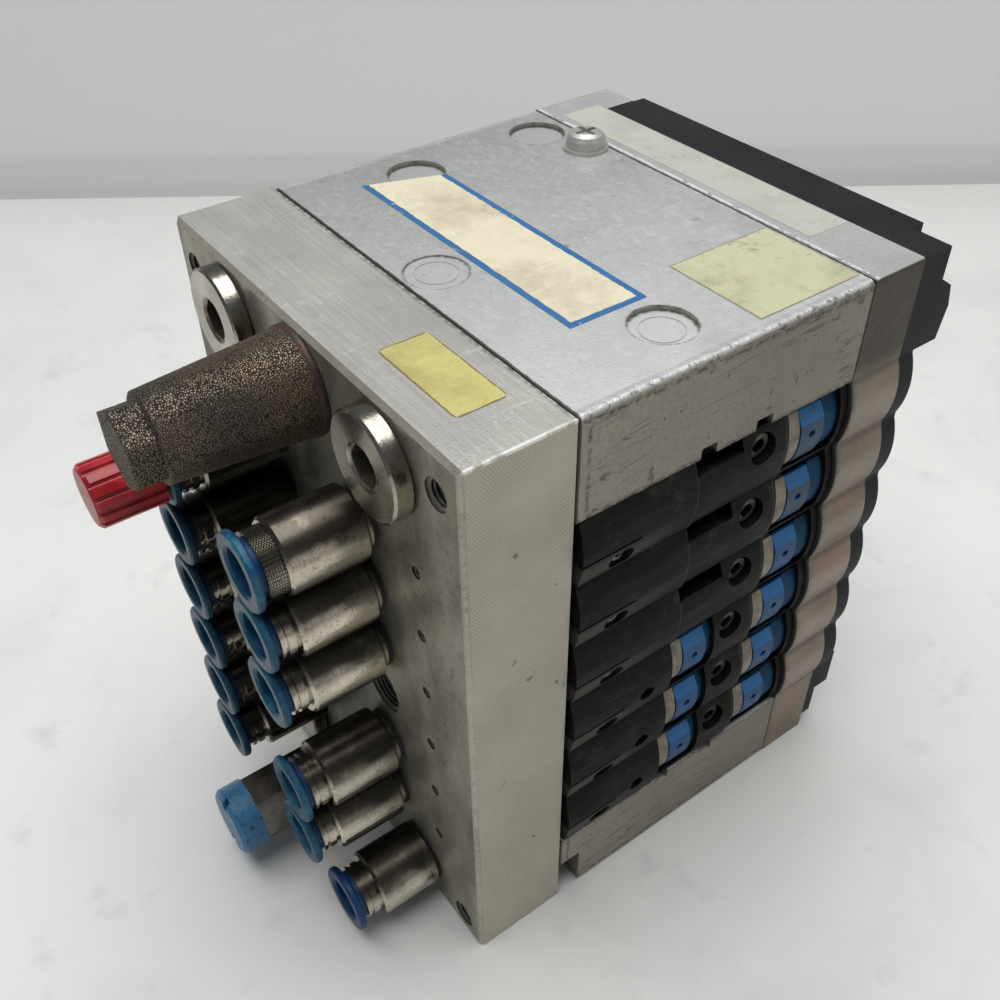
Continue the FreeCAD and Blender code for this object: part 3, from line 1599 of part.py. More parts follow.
def build():
    connector_plate()
    plate_gasket()
    plate_screws()
    upper_end_plate()
    lower_end_plate()
    tie_rods()
    for row in range(slice_total):
        valve_slice(f"valve_slice_{row + 1}", row, row in DOUBLE_SLICES)
        spool(f"spool_{row + 1}", row)
    bore_caps()
    override_seats()
    light_windows()
    for label, row, front, _ in override_places():
        override_button(label, row, front)
    slice_screws()
    fittings()
    release_rings()
    blanking_plug()
    port_seals()
    port_plugs()
    silencer()
    centre_supply_fitting()
    supply_cap()
    node_housing()
    housing_gasket()
    circuit_board()
    node_cover()
    cover_screws()
    earth_screw()
    connector()


def check_document():
    """Stop if any object failed or any node's shape is missing or faulty."""
    faults = [
        f"{item.Label}: {item.State}"
        for item in document.Objects
        if "Invalid" in item.State or "Error" in item.State
    ]
    for node in nodes:
        if node.Shape.isNull() or not node.Shape.isValid():
            faults.append(f"{node.Label}: no valid shape")
    if faults:
        raise RuntimeError("; ".join(faults))


def export():
    os.makedirs("parts", exist_ok=True)
    for node in nodes:
        node.Shape.exportStep(os.path.join("parts", f"{node.Label}.step"))


build()
document.recompute()
check_document()
export()
print(f"{len(nodes)} nodes")
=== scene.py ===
"""Looks of the pneumatic valve island: camera, light, materials, labels and the silencer's grain.

Metres, in the CAD's frame: +X towards the side with the overrides, +Y from the connector plate to
the electrical node, +Z up.
"""
import math

import bmesh
import bpy
from mathutils import Matrix, Vector, noise


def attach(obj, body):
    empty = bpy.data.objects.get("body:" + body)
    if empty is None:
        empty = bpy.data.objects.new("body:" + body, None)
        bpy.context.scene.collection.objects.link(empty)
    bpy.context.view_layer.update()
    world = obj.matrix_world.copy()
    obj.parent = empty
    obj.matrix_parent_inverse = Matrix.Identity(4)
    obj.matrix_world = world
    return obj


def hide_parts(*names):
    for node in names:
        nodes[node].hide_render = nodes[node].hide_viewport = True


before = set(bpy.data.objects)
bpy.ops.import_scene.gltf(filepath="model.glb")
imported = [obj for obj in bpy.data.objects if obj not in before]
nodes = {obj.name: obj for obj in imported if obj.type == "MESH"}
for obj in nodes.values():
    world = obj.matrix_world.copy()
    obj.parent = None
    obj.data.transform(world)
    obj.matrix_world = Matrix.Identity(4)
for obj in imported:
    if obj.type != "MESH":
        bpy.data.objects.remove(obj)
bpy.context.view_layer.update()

MM = 0.001

# Places that the materials and pieces share with the CAD, in millimetres
HALF_WIDTH = 44.0
BLOCK_FRONT = -30.0
BLOCK_BACK = 30.0
PLATE_FRONT = -49.5
STACK_TOP = 122.0
UPPER_BLOCK_BASE = 103.0
LOWER_BLOCK_TOP = 19.0
MID_HEIGHT = 60.0
PORT_COLUMN = 15.2
UPPER_PORT = 94.5
SUPPLY_COLUMN = 24.4
UPPER_SUPPLY = 112.0
LOWER_SUPPLY = 10.0
CAST_MARKS = ((-33.3, -6.2), (-34.2, 22.8), (33.2, -5.4), (-0.2, -23.6))
MARK_RADIUS = 5.5

# The slices: their two steps along Y, the height where the upper rows begin, and the screws'
# places along Y with their heights in the slice
SLICE_PITCH = 14.0
FIRST_STEP = -5.5
SECOND_STEP = 14.7
UPPER_ROWS = 75.0
LABEL_SCREW = (-21.0, 2.8)
PILOT_SCREW = (8.7, 9.9)

# Fine patterns, in millimetres where nothing else is said. The knurl and the rings are measured
# from the plate's front
KNURL_START = 15.8
KNURL_RADIUS = 6.2
KNURL_COUNT = 26.0
KNURL_PITCH = 0.9
RING_REACH = 20.9
PLUG_RING_PITCH = 0.3
CUTTER_PITCH = 0.47
THREAD_PITCH = 0.7
HOLE_MARGIN = 1.2
BEADS_PER_METRE = 2700.0

# The labels: left, front, right and back in millimetres
LONG_LABEL = (-34.5, -17.2, 26.0, -2.0)
PLATE_LABEL = (13.8, -43.2, 34.2, -34.4)
CORNER_LABEL = (21.0, 7.1, 41.2, 29.3)
REAR_LABEL = (-38.0, 32.5, 28.0, 41.6)
LABEL_THICKNESS = 0.07

# The silencer, in millimetres: a rim at the plate, a cone, and a hexagon at its end
RIM_RADIUS = 9.3
RIM_LENGTH = 1.2
CONE_BASE_RADIUS = 9.0
CONE_TIP_RADIUS = 7.4
CONE_END = 25.1
SILENCER_END = 29.7
HEXAGON_HALF_FLATS = 6.0
HEXAGON_CORNER_RADIUS = 6.75
SILENCER_SEGMENTS = 320
STATION_STEP = 0.22
BEAD_SIZE = 0.36
BEAD_RELIEF = 0.05
END_RINGS = (0.86, 0.7, 0.54, 0.38, 0.22, 0.08)

# The half widths of floor and wall in metres, the rest of the wall in millimetres
FLOOR_HALF = 1.6
WALL_HALF = 2
WALL_DISTANCE = 287.0
WALL_HEIGHT = 160.0
WALL_CURVE = 12.0


# Camera, floor and light

AZIMUTH = math.radians(54.59)
ELEVATION = math.radians(41.10)
ROLL = math.radians(-0.91)
CAMERA_PLACE = Vector((130.994, -105.064, 207.779)) * MM
SENSOR_WIDTH = 36.0
FOCAL_PIXELS = 1078.3
PICTURE_PIXELS = 1000.0


def make_camera():
    back = Vector((
        math.sin(AZIMUTH) * math.cos(ELEVATION),
        -math.cos(AZIMUTH) * math.cos(ELEVATION),
        math.sin(ELEVATION),
    ))
    right = (-back).cross(Vector((0, 0, 1))).normalized()
    up = back.cross(right)
    turned_right = right * math.cos(ROLL) + up * math.sin(ROLL)
    turned_up = up * math.cos(ROLL) - right * math.sin(ROLL)
    camera_data = bpy.data.cameras.new("camera")
    camera_data.sensor_width = SENSOR_WIDTH
    camera_data.lens = FOCAL_PIXELS / PICTURE_PIXELS * SENSOR_WIDTH
    camera_data.clip_start = 0.01
    camera_data.dof.use_dof = False
    camera = bpy.data.objects.new("camera", camera_data)
    bpy.context.collection.objects.link(camera)
    turned = Matrix((turned_right, turned_up, back)).transposed()
    camera.matrix_world = Matrix.Translation(CAMERA_PLACE) @ turned.to_4x4()
    bpy.context.scene.camera = camera


def aim(thing, target):
    direction = Vector(target) - thing.location
    thing.rotation_euler = direction.to_track_quat("-Z", "Y").to_euler()


def add_lamp(name, place, target, size, power, color=(1, 1, 1)):
    lamp_data = bpy.data.lights.new(name, "AREA")
    lamp_data.shape = "RECTANGLE"
    lamp_data.size, lamp_data.size_y = size
    lamp_data.energy = power
    lamp_data.color = color
    lamp = bpy.data.objects.new(name, lamp_data)
    lamp.location = place
    aim(lamp, target)
    bpy.context.collection.objects.link(lamp)


class Graph:
    """A material's node tree with short calls for the nodes it uses."""

    def __init__(self, name):
        self.material = bpy.data.materials.new(name)
        self.material.use_nodes = True
        self.tree = self.material.node_tree
        self.shader = self.tree.nodes["Principled BSDF"]
        self.place = self.add("ShaderNodeTexCoord").outputs["Object"]
        self.normal = self.add("ShaderNodeNewGeometry").outputs["Normal"]

    def places(self, names):
        """The place on the object along the named axes."""
        return [self.axis(self.place, name) for name in names]

    def add(self, kind, **settings):
        node = self.tree.nodes.new(kind)
        for key, value in settings.items():
            setattr(node, key, value)
        return node

    def put(self, value, socket):
        """Link an output to the socket, or set the socket to a plain value."""
        if isinstance(value, bpy.types.NodeSocket):
            self.tree.links.new(value, socket)
        else:
            socket.default_value = value

    def math(self, operation, first, second=0.0, clamp=False):
        node = self.add("ShaderNodeMath", operation=operation, use_clamp=clamp)
        self.put(first, node.inputs[0])
        self.put(second, node.inputs[1])
        return node.outputs[0]

    def size(self, value):
        """The value without its sign."""
        return self.math("ABSOLUTE", value)

    def times(self, *factors):
        product = factors[0]
        for factor in factors[1:]:
            product = self.math("MULTIPLY", product, factor)
        return product

    def plus(self, first, second):
        return self.math("ADD", first, second)

    def most(self, *values):
        """The highest of the values."""
        highest = values[0]
        for value in values[1:]:
            highest = self.math("MAXIMUM", highest, value)
        return highest

    def length(self, across, along):
        """The distance from the origin of the two offsets."""
        return self.math("SQRT", self.plus(self.times(across, across), self.times(along, along)))

    def inverse(self, share):
        return self.math("SUBTRACT", 1.0, share)

    def from_place(self, value, place):
        """How far the value is beyond a place in millimetres."""
        return self.math("SUBTRACT", value, place * MM)

    def above(self, value, place):
        """1 beyond a place in millimetres, 0 before it."""
        return self.math("GREATER_THAN", value, place * MM)

    def below(self, value, place):
        """1 before a place in millimetres, 0 beyond it."""
        return self.math("LESS_THAN", value, place * MM)

    def between(self, value, low, high):
        return self.times(self.above(value, low), self.below(value, high))

    def wave(self, value, pitch):
        """A sine from -1 to 1, with the given pitch in millimetres."""
        return self.math("SINE", self.math("MULTIPLY", value, 2 * math.pi / (pitch * MM)))

    def axis(self, vector, name):
        node = self.add("ShaderNodeSeparateXYZ")
        self.put(vector, node.inputs[0])
        return node.outputs[name]

    def scaled(self, scale, turn=(0, 0, 0)):
        """The place on the object, scaled and turned."""
        node = self.add("ShaderNodeMapping")
        self.put(self.place, node.inputs["Vector"])
        node.inputs["Scale"].default_value = scale
        node.inputs["Rotation"].default_value = turn
        return node.outputs[0]

    def noise(self, scale, detail=3.0, vector=None, rough=0.55, distortion=0.0):
        node = self.add("ShaderNodeTexNoise")
        self.put(vector or self.place, node.inputs["Vector"])
        node.inputs["Scale"].default_value = scale
        node.inputs["Detail"].default_value = detail
        node.inputs["Roughness"].default_value = rough
        node.inputs["Distortion"].default_value = distortion
        return node.outputs["Fac"]

    def patches(self, low, high, scale, *detail, **settings):
        """Noise, 0 where it is below low and 1 where it is above high."""
        return self.ramp(self.noise(scale, *detail, **settings), low, high)

    def cell_edges(self, scale):
        """The distance to the nearest wall of the cells."""
        node = self.add("ShaderNodeTexVoronoi", feature="DISTANCE_TO_EDGE")
        self.put(self.place, node.inputs["Vector"])
        node.inputs["Scale"].default_value = scale
        return node.outputs["Distance"]

    def ramp(self, value, low, high):
        """0 below low, 1 above high, straight between them."""
        node = self.add("ShaderNodeMapRange")
        self.put(value, node.inputs["Value"])
        node.inputs["From Min"].default_value = low
        node.inputs["From Max"].default_value = high
        return node.outputs[0]

    def slope(self, value, low, high):
        """A ramp between two places in millimetres."""
        return self.ramp(value, low * MM, high * MM)

    def put_color(self, color, socket):
        self.put((*color, 1.0) if isinstance(color, tuple) else color, socket)

    def mix(self, share, first, second):
        """The first colour where the share is 0 and the second where it is 1."""
        node = self.add("ShaderNodeMix", data_type="RGBA")
        self.put(share, node.inputs["Factor"])
        colors = [socket for socket in node.inputs if socket.type == "RGBA"]
        self.put_color(first, colors[0])
        self.put_color(second, colors[1])
        return next(socket for socket in node.outputs if socket.type == "RGBA")

    def tint(self, color, other, *shares):
        """The colour with the other one laid over it by the product of the shares."""
        return self.mix(self.times(*shares), color, other)

    def span(self, share, first, second):
        """A number between first and second."""
        node = self.add("ShaderNodeMapRange")
        self.put(share, node.inputs["Value"])
        node.inputs["To Min"].default_value = first
        node.inputs["To Max"].default_value = second
        return node.outputs[0]

    def bump(self, height, depth, below=None):
        """Relief of the given depth in metres."""
        node = self.add("ShaderNodeBump")
        node.inputs["Strength"].default_value = 1.0
        node.inputs["Distance"].default_value = depth
        self.put(height, node.inputs["Height"])
        if below is not None:
            self.put(below, node.inputs["Normal"])
        return node.outputs[0]

    def finish(self, color, roughness, metallic, relief=None, **fixed):
        """Set the shader and give its material. fixed holds other inputs of the shader."""
        self.put_color(color, self.shader.inputs["Base Color"])
        self.put(roughness, self.shader.inputs["Roughness"])
        self.put(metallic, self.shader.inputs["Metallic"])
        if relief is not None:
            self.put(relief, self.shader.inputs["Normal"])
        for name, value in fixed.items():
            self.shader.inputs[name.replace("_", " ")].default_value = value
        return self.material


def near(graph, value, place, width):
    """1 at the place, falling to 0 at the width's distance from it."""
    distance = graph.size(graph.math("SUBTRACT", value, place))
    return graph.ramp(distance, width, 0.0)


def line(graph, value, place, width):
    """The same, for lengths in millimetres."""
    return near(graph, value, place * MM, width * MM)


def gouges(graph, scale, turn, thin, low=0.55, high=0.68, spread=70.0):
    """Sparse thin lines: stretched noise, cut to its crests, in a few patches."""
    lines = graph.noise(1.0, 2.0, graph.scaled(scale, turn), distortion=0.15)
    patches = graph.patches(low, high, spread, 3.0)
    return graph.times(near(graph, lines, 0.5, thin), patches)


def crumbs(graph, value, place, width, wander):
    """Broken grime along a line: wandering, dense at the line and ragged beyond it."""
    drift = graph.math("SUBTRACT", graph.noise(420.0, 4.0, rough=0.7), 0.5)
    moved = graph.plus(value, graph.times(drift, wander * MM))
    return graph.times(line(graph, moved, place, width), graph.patches(0.4, 0.56, 1100.0, 4.0))


def facing(graph, axis, low=0.5, high=0.9):
    """1 where the surface faces along the axis, either way, and 0 where it turns away."""
    return graph.ramp(graph.size(graph.axis(graph.normal, axis)), low, high)


def slice_height(graph):
    """The height within a slice, as a share of the pitch."""
    height = graph.from_place(graph.axis(graph.place, "Z"), LOWER_BLOCK_TOP)
    return graph.math("FRACT", graph.math("DIVIDE", height, SLICE_PITCH * MM))


def cast_metal(name, inner_edge, outer_edge):
    """Die cast aluminium: cool mottled faces, warm sandy sides with gouges, worn edges with a
    painted highlight on the top's rim.

    The edges are heights in millimetres: the one towards the slices and the one away from them."""
    g = Graph(name)
    x, y, z = g.places("XYZ")
    up = facing(g, "Z", 0.4, 0.8)
    side = g.inverse(up)
    mottle = g.patches(0.3, 0.7, 55.0, 5.0, rough=0.62)
    grain = g.patches(0.3, 0.7, 2300.0, 3.0, rough=0.7)
    # Painted reflection: the tops are painted lighter towards the +X edge.
    wear_and_sheen = g.slope(x, -HALF_WIDTH, HALF_WIDTH)
    tops = g.mix(wear_and_sheen, (0.39, 0.40, 0.395), (0.60, 0.615, 0.605))
    tops = g.tint(tops, (0.38, 0.385, 0.38), mottle, 0.15)
    tops = g.tint(tops, (0.34, 0.33, 0.31), g.patches(0.50, 0.68, 34.0, 4.0, distortion=0.6), 0.5)
    tops = g.tint(tops, (0.66, 0.66, 0.65), grain, 0.22)
    # Painted light: the sides are painted paler towards the front.
    front = g.slope(y, 12, BLOCK_FRONT)
    sides = g.mix(mottle, (0.168, 0.146, 0.110), (0.235, 0.207, 0.162))
    sides = g.tint(sides, (0.36, 0.335, 0.27), front, 0.62)
    sand = g.patches(0.40, 0.62, 1300.0, 4.0, rough=0.75)
    sides = g.tint(sides, (0.135, 0.12, 0.095), sand, 0.5)
    sides = g.tint(sides, (0.42, 0.40, 0.35), grain, 0.2)
    color = g.mix(up, sides, tops)

    # Marks: gouges on the sides, a few pale scrapes on top
    dark_lines = g.most(
        gouges(g, (300.0, 13.0, 420.0), (0.07, 0, 0), 0.010, 0.50, 0.60, 32.0),
        gouges(g, (200.0, 40.0, 420.0), (-0.30, 0, 0), 0.012, 0.53, 0.62),
    )
    color = g.tint(color, (0.045, 0.038, 0.03), dark_lines, side, 0.75)
    dents = g.times(g.patches(0.66, 0.70, 420.0, 3.0), side)
    color = g.tint(color, (0.07, 0.06, 0.05), dents, 0.7)
    scrapes = gouges(g, (140.0, 620.0, 1.0), (0, 0, 0.5), 0.012, 0.50, 0.62)
    color = g.tint(color, (0.80, 0.80, 0.79), scrapes, up, 0.4)
    pits = g.patches(0.69, 0.73, 380.0, 3.0)
    color = g.tint(color, (0.20, 0.19, 0.175), pits, up, 0.5)

    # Grime along the edges, and bare bright metal on the outer one
    low_line = crumbs(g, z, inner_edge, 0.9, 1.1)
    inwards = math.copysign(1.5, inner_edge - outer_edge)
    under_top = crumbs(g, z, outer_edge + inwards, 0.7, 1.2)
    front_line = crumbs(g, y, BLOCK_FRONT + 2.0, 0.6, 0.8)
    for grime, share in ((low_line, 1.0), (under_top, 0.9), (front_line, 0.75)):
        color = g.tint(color, (0.035, 0.03, 0.026), grime, side, share)
    bare = g.times(line(g, z, outer_edge, 0.95), g.patches(0.36, 0.5, 700.0, 4.0))
    color = g.tint(color, (0.62, 0.62, 0.60), bare, side, 0.5)
    # The rim along the top's side edges: worn bare metal, partly a painted highlight.
    rim = line(g, g.size(x), HALF_WIDTH, 1.2)
    color = g.tint(color, (0.80, 0.80, 0.80), rim, up, g.patches(0.46, 0.6, 500.0, 4.0), 0.6)
    corner = g.times(rim, line(g, z, outer_edge, 1.6))
    flecks = g.times(g.ramp(corner, 0.1, 0.5), g.patches(0.55, 0.62, 900.0, 4.0))
    color = g.tint(color, (0.06, 0.055, 0.045), flecks, 0.6)
    for mark_x, mark_y in CAST_MARKS:
        radius = g.length(g.from_place(x, mark_x), g.from_place(y, mark_y))
        ring = crumbs(g, radius, MARK_RADIUS - 0.1, 0.45, 0.7)
        color = g.tint(color, (0.06, 0.055, 0.045), ring, up, 0.75)
    seam = line(g, g.size(y), BLOCK_BACK, 0.9)
    ragged = g.ramp(g.plus(seam, g.times(g.noise(800.0, 3.0), 0.5)), 0.72, 0.86)
    color = g.tint(color, (0.03, 0.026, 0.02), ragged, 0.9)

    relief = g.bump(g.noise(2600.0, 3.0, rough=0.7), 0.00006)
    relief = g.bump(g.noise(60.0, 1.0), 0.00025, relief)
    hollows = g.most(g.times(dark_lines, side), dents, g.times(low_line, side))
    relief = g.bump(g.inverse(hollows), 0.00014, relief)
    worn = g.times(line(g, z, outer_edge, 1.4), line(g, g.size(x), HALF_WIDTH, 1.8))
    relief = g.bump(g.times(worn, g.noise(850.0, 4.0, rough=0.7)), 0.00045, relief)
    return g.finish(color, g.span(mottle, 0.48, 0.45), g.span(bare, 0.35, 0.6), relief)


def milled_plate():
    """The connector plate: cutter lines on its ends, brushed top, smeared dark face."""
    g = Graph("milled_plate")
    x, y, z = g.places("XYZ")
    end, face, top = facing(g, "X"), facing(g, "Y"), facing(g, "Z")
    blotch = g.patches(0.3, 0.7, 55.0, 5.0, rough=0.6)
    color = g.mix(blotch, (0.39, 0.36, 0.285), (0.47, 0.44, 0.355))

    # Cutter lines cross the ends on a slant
    across = g.plus(g.times(y, 0.82), g.times(z, 0.57))
    across = g.plus(across, g.times(g.noise(160.0, 2.0), 0.9 * MM))
    cuts = g.wave(across, CUTTER_PITCH)
    patch = g.patches(0.36, 0.6, 45.0, 3.0)
    color = g.tint(color, (0.135, 0.127, 0.105), g.ramp(cuts, 0.0, 1.0), patch, end, 0.34)
    bruise = g.patches(0.72, 0.76, 260.0, 2.0)
    color = g.tint(color, (0.07, 0.06, 0.055), bruise, end, 0.7)

    # Brush lines and pale scrapes on top
    brush = g.noise(1.0, 3.0, g.scaled((45.0, 1900.0, 1.0), (0, 0, 0.03)), rough=0.6)
    tops = g.mix(g.ramp(brush, 0.3, 0.7), (0.41, 0.40, 0.365), (0.52, 0.505, 0.465))
    tops = g.tint(tops, (0.40, 0.395, 0.365), blotch, 0.35)
    scrapes = g.most(
        gouges(g, (90.0, 900.0, 1.0), (0, 0, 0.55), 0.016, 0.46, 0.6),
        gouges(g, (800.0, 45.0, 1.0), (0, 0, -0.35), 0.012, 0.45, 0.62),
    )
    tops = g.tint(tops, (0.74, 0.73, 0.70), scrapes, 0.6)
    seam = crumbs(g, y, BLOCK_FRONT - 0.3, 0.9, 0.6)
    tops = g.tint(tops, (0.06, 0.05, 0.04), seam, 0.8)
    color = g.mix(top, color, tops)

    # Smears and rubbed streaks on the face between the fittings; soot and painted shade on its left
    # part below the silencer
    smear = g.patches(0.36, 0.62, 1.0, 4.0, g.scaled((110.0, 1.0, 38.0), (0, 0.35, 0)), rough=0.6)
    faces = g.mix(smear, (0.44, 0.415, 0.335), (0.25, 0.235, 0.185))
    streaks = gouges(g, (160.0, 1.0, 420.0), (0, 0.5, 0), 0.012, 0.45, 0.6)
    faces = g.tint(faces, (0.50, 0.49, 0.45), streaks, 0.6)
    faces = g.tint(faces, (0.07, 0.065, 0.055), g.patches(0.56, 0.66, 900.0, 4.0, rough=0.7), 0.5)
    # Soot and painted shade: the face darkens towards the left and below the silencer.
    soot_and_shade = g.times(g.slope(x, 26, -2), g.slope(z, 108, 98), g.patches(0.2, 0.5, 60.0, 3.0))
    faces = g.tint(faces, (0.03, 0.028, 0.024), soot_and_shade, 0.7)
    color = g.mix(face, color, faces)

    # Bare metal in crumbs along the upright front edge and the top rim
    upright = g.times(line(g, x, HALF_WIDTH, 0.8), line(g, y, PLATE_FRONT, 0.8))
    worn = g.patches(0.40, 0.55, 650.0, 4.0)
    color = g.tint(color, (0.62, 0.60, 0.55), g.ramp(upright, 0.1, 0.5), worn)
    outline = g.most(line(g, x, HALF_WIDTH, 0.7), line(g, y, PLATE_FRONT, 0.5))
    rim = g.times(outline, line(g, z, STACK_TOP, 0.7))
    worn = g.patches(0.38, 0.52, 420.0, 4.0)
    color = g.tint(color, (0.82, 0.81, 0.78), g.ramp(rim, 0.1, 0.5), worn)

    # Inside the holes: threads, and painted shade on their walls
    inside_x = g.below(g.size(x), HALF_WIDTH - HOLE_MARGIN)
    inside_z = g.between(z, HOLE_MARGIN, STACK_TOP - HOLE_MARGIN)
    hole = g.times(inside_x, inside_z, g.inverse(face))
    color = g.tint(color, (0.05, 0.045, 0.04), hole, 0.7)

    relief = g.bump(g.noise(2400.0, 2.0), 0.00004)
    relief = g.bump(g.times(cuts, end), 0.000012, relief)
    relief = g.bump(g.times(brush, top), 0.00005, relief)
    relief = g.bump(g.times(g.wave(y, THREAD_PITCH), hole), 0.0002, relief)
    return g.finish(color, g.span(blotch, 0.50, 0.36), g.span(face, 0.45, 0.6), relief)


def housing_metal():
    """The node's metal frame, with pinkish smears over its bulges and grime in its seams; painted
    shade and highlights on the bulges, and painted shade on its side above the upper block.
    """
    g = Graph("housing_metal")
    x, y, z = g.places("XYZ")
    right = g.above(x, 0.0)
    up = facing(g, "Z", 0.6, 0.9)
    high = g.slope(z, UPPER_BLOCK_BASE - 2, UPPER_BLOCK_BASE + 3)
    blotch = g.patches(0.32, 0.68, 75.0, 5.0, rough=0.6)
    side = g.mix(blotch, (0.165, 0.132, 0.092), (0.255, 0.205, 0.146))
    # Painted shade: the side is darkened almost to black above the upper block's base.
    side = g.tint(side, (0.034, 0.025, 0.014), high, 0.95)
    smear = g.patches(0.50, 0.62, 110.0, 3.0, distortion=0.8)
    side = g.tint(side, (0.33, 0.17, 0.12), smear, g.inverse(high), 0.5)
    scratches = gouges(g, (260.0, 380.0, 110.0), (0.7, 0, 0), 0.012)
    side = g.tint(side, (0.08, 0.065, 0.055), scratches, 0.7)
    tops = g.mix(blotch, (0.40, 0.405, 0.395), (0.50, 0.505, 0.495))
    color = g.mix(up, side, tops)

    # One bulge to a slice: painted shade between two bulges, a painted highlight on their crests
    bulge = g.size(g.wave(g.from_place(z, LOWER_BLOCK_TOP), 2 * SLICE_PITCH))
    stack = g.between(z, LOWER_BLOCK_TOP, UPPER_BLOCK_BASE)
    color = g.tint(color, (0.06, 0.05, 0.04), g.ramp(bulge, 0.30, 0.0), stack, right, 0.8)
    color = g.tint(color, (0.42, 0.37, 0.31), g.ramp(bulge, 0.72, 1.0), stack, right, 0.35)
    grain = g.patches(0.35, 0.65, 1900.0, 3.0, rough=0.7)
    color = g.tint(color, (0.12, 0.11, 0.10), grain, 0.22)
    seam = crumbs(g, y, BLOCK_BACK + 0.4, 0.8, 0.7)
    color = g.tint(color, (0.05, 0.045, 0.04), seam, 0.6)
    bare = g.times(line(g, y, BLOCK_BACK + 0.7, 0.5), g.patches(0.36, 0.50, 480.0, 3.0), up)
    color = g.tint(color, (0.85, 0.85, 0.84), bare, 0.9)
    relief = g.bump(g.noise(2200.0, 3.0), 0.00006)
    relief = g.bump(blotch, 0.0002, relief)
    return g.finish(color, g.span(blotch, 0.55, 0.45), 0.25, relief)


def slice_coating():
    """Dark anthracite coating, dusty: painted light makes it paler below each slot line, and
    painted shade makes it black in its creases.
    """
    g = Graph("slice_coating")
    y = g.axis(g.place, "Y")
    height = slice_height(g)
    # Painted light: each slice's front part is paler below its slot line.
    lit_lower_band = g.times(g.ramp(height, 0.42, 0.30), g.ramp(height, 0.0, 0.12), g.slope(y, -8, -22))
    wear_and_sheen = g.patches(0.42, 0.75, 1.0, 4.0, g.scaled((220.0, 90.0, 420.0)), rough=0.6)
    color = g.mix(wear_and_sheen, (0.003, 0.0035, 0.003), (0.009, 0.009, 0.008))
    color = g.tint(color, (0.058, 0.058, 0.052), lit_lower_band, 0.9)
    # Painted shade: black in the creases between the slices.
    crease_shade = g.most(g.ramp(height, 0.09, 0.02), g.ramp(height, 0.93, 0.99))
    color = g.tint(color, (0.002, 0.002, 0.002), crease_shade, 0.95)

    # The stepped lengths: painted shade in each step and a painted shadow behind the first one, a
    # painted highlight on the edge before each
    steps = g.most(line(g, y, FIRST_STEP, 0.35), line(g, y, SECOND_STEP, 0.35))
    behind = g.times(g.above(y, FIRST_STEP), g.slope(y, FIRST_STEP + 3.5, FIRST_STEP))
    steps = g.most(g.ramp(steps, 0.1, 0.5), g.times(behind, 0.7))
    color = g.mix(steps, color, (0.002, 0.002, 0.002))
    edges = g.most(line(g, y, FIRST_STEP - 0.5, 0.3), line(g, y, SECOND_STEP - 0.5, 0.3))
    color = g.tint(color, (0.06, 0.06, 0.055), edges, 0.55)
    dust = g.patches(0.58, 0.76, 240.0, 4.0, rough=0.65)
    color = g.tint(color, (0.085, 0.078, 0.065), dust, 0.35)
    lines = gouges(g, (300.0, 70.0, 1300.0), (0.1, 0, 0), 0.008, 0.5, 0.65)
    color = g.tint(color, (0.20, 0.20, 0.19), lines, 0.35)
    relief = g.bump(g.noise(3000.0, 3.0, rough=0.7), 0.00006)
    return g.finish(color, g.span(wear_and_sheen, 0.6, 0.46), 0.0, relief, Specular_IOR_Level=0.12)


def tarnished(g, tone, shade, painted_reflection):
    """Nickel plate's colour, roughness and metal share, with random tarnish patches. The last
    argument sets how much painted shade darkens it off its flanks, so that only the flanks look lit
    as a painted reflection.
    """
    height = g.axis(g.normal, "Z")
    # Painted reflection: bright on the flanks, with painted shade on top and underneath.
    flank = g.times(g.ramp(height, 0.66, 0.22), g.ramp(height, -0.55, -0.10))
    off_flank_shade = g.times(g.inverse(flank), painted_reflection)
    patches = g.times(g.patches(0.40, 0.62, 120.0, 5.0, rough=0.6), 0.32)
    tarnish_and_shade = g.math("ADD", off_flank_shade, patches, clamp=True)
    color = g.mix(tarnish_and_shade, tone, shade)
    spots = g.patches(0.56, 0.68, 1300.0, 3.0, rough=0.65)
    color = g.tint(color, tuple(c * 0.35 for c in shade), spots, 0.5)
    return color, g.span(tarnish_and_shade, 0.17, 0.30), g.span(off_flank_shade, 1.0, 0.9)


def nickel(name="nickel", tone=(0.66, 0.61, 0.50), shade=(0.09, 0.079, 0.063), painted_reflection=0.0,
           knurl_height=None):
    """Nickel plate with fine turning lines. A knurl runs round the neck at the given height."""
    g = Graph(name)
    color, rough, metal = tarnished(g, tone, shade, painted_reflection)
    turning = g.noise(1.0, 2.0, g.scaled((60.0, 4200.0, 60.0)))
    relief = g.bump(turning, 0.00001)
    relief = g.bump(g.noise(1800.0, 3.0), 0.000015, relief)
    if knurl_height is not None:
        x, y, z = g.places("XYZ")
        across = g.from_place(x, PORT_COLUMN)
        above = g.from_place(z, knurl_height)
        neck = g.times(
            g.below(g.size(above), KNURL_RADIUS), g.below(y, PLATE_FRONT - KNURL_START),
            g.above(x, 0.0),
        )
        turns = g.times(g.math("ARCTAN2", above, across), KNURL_COUNT)
        climb = g.times(y, 2 * math.pi / (KNURL_PITCH * MM))
        left_hand = g.math("SINE", g.plus(turns, climb))
        right_hand = g.math("SINE", g.math("SUBTRACT", turns, climb))
        teeth = g.ramp(g.times(left_hand, right_hand), -0.3, 0.7)
        color = g.tint(color, (0.05, 0.047, 0.042), neck, g.inverse(teeth), 0.8)
        relief = g.bump(g.times(teeth, neck), 0.0002, relief)
    return g.finish(color, rough, metal, relief)


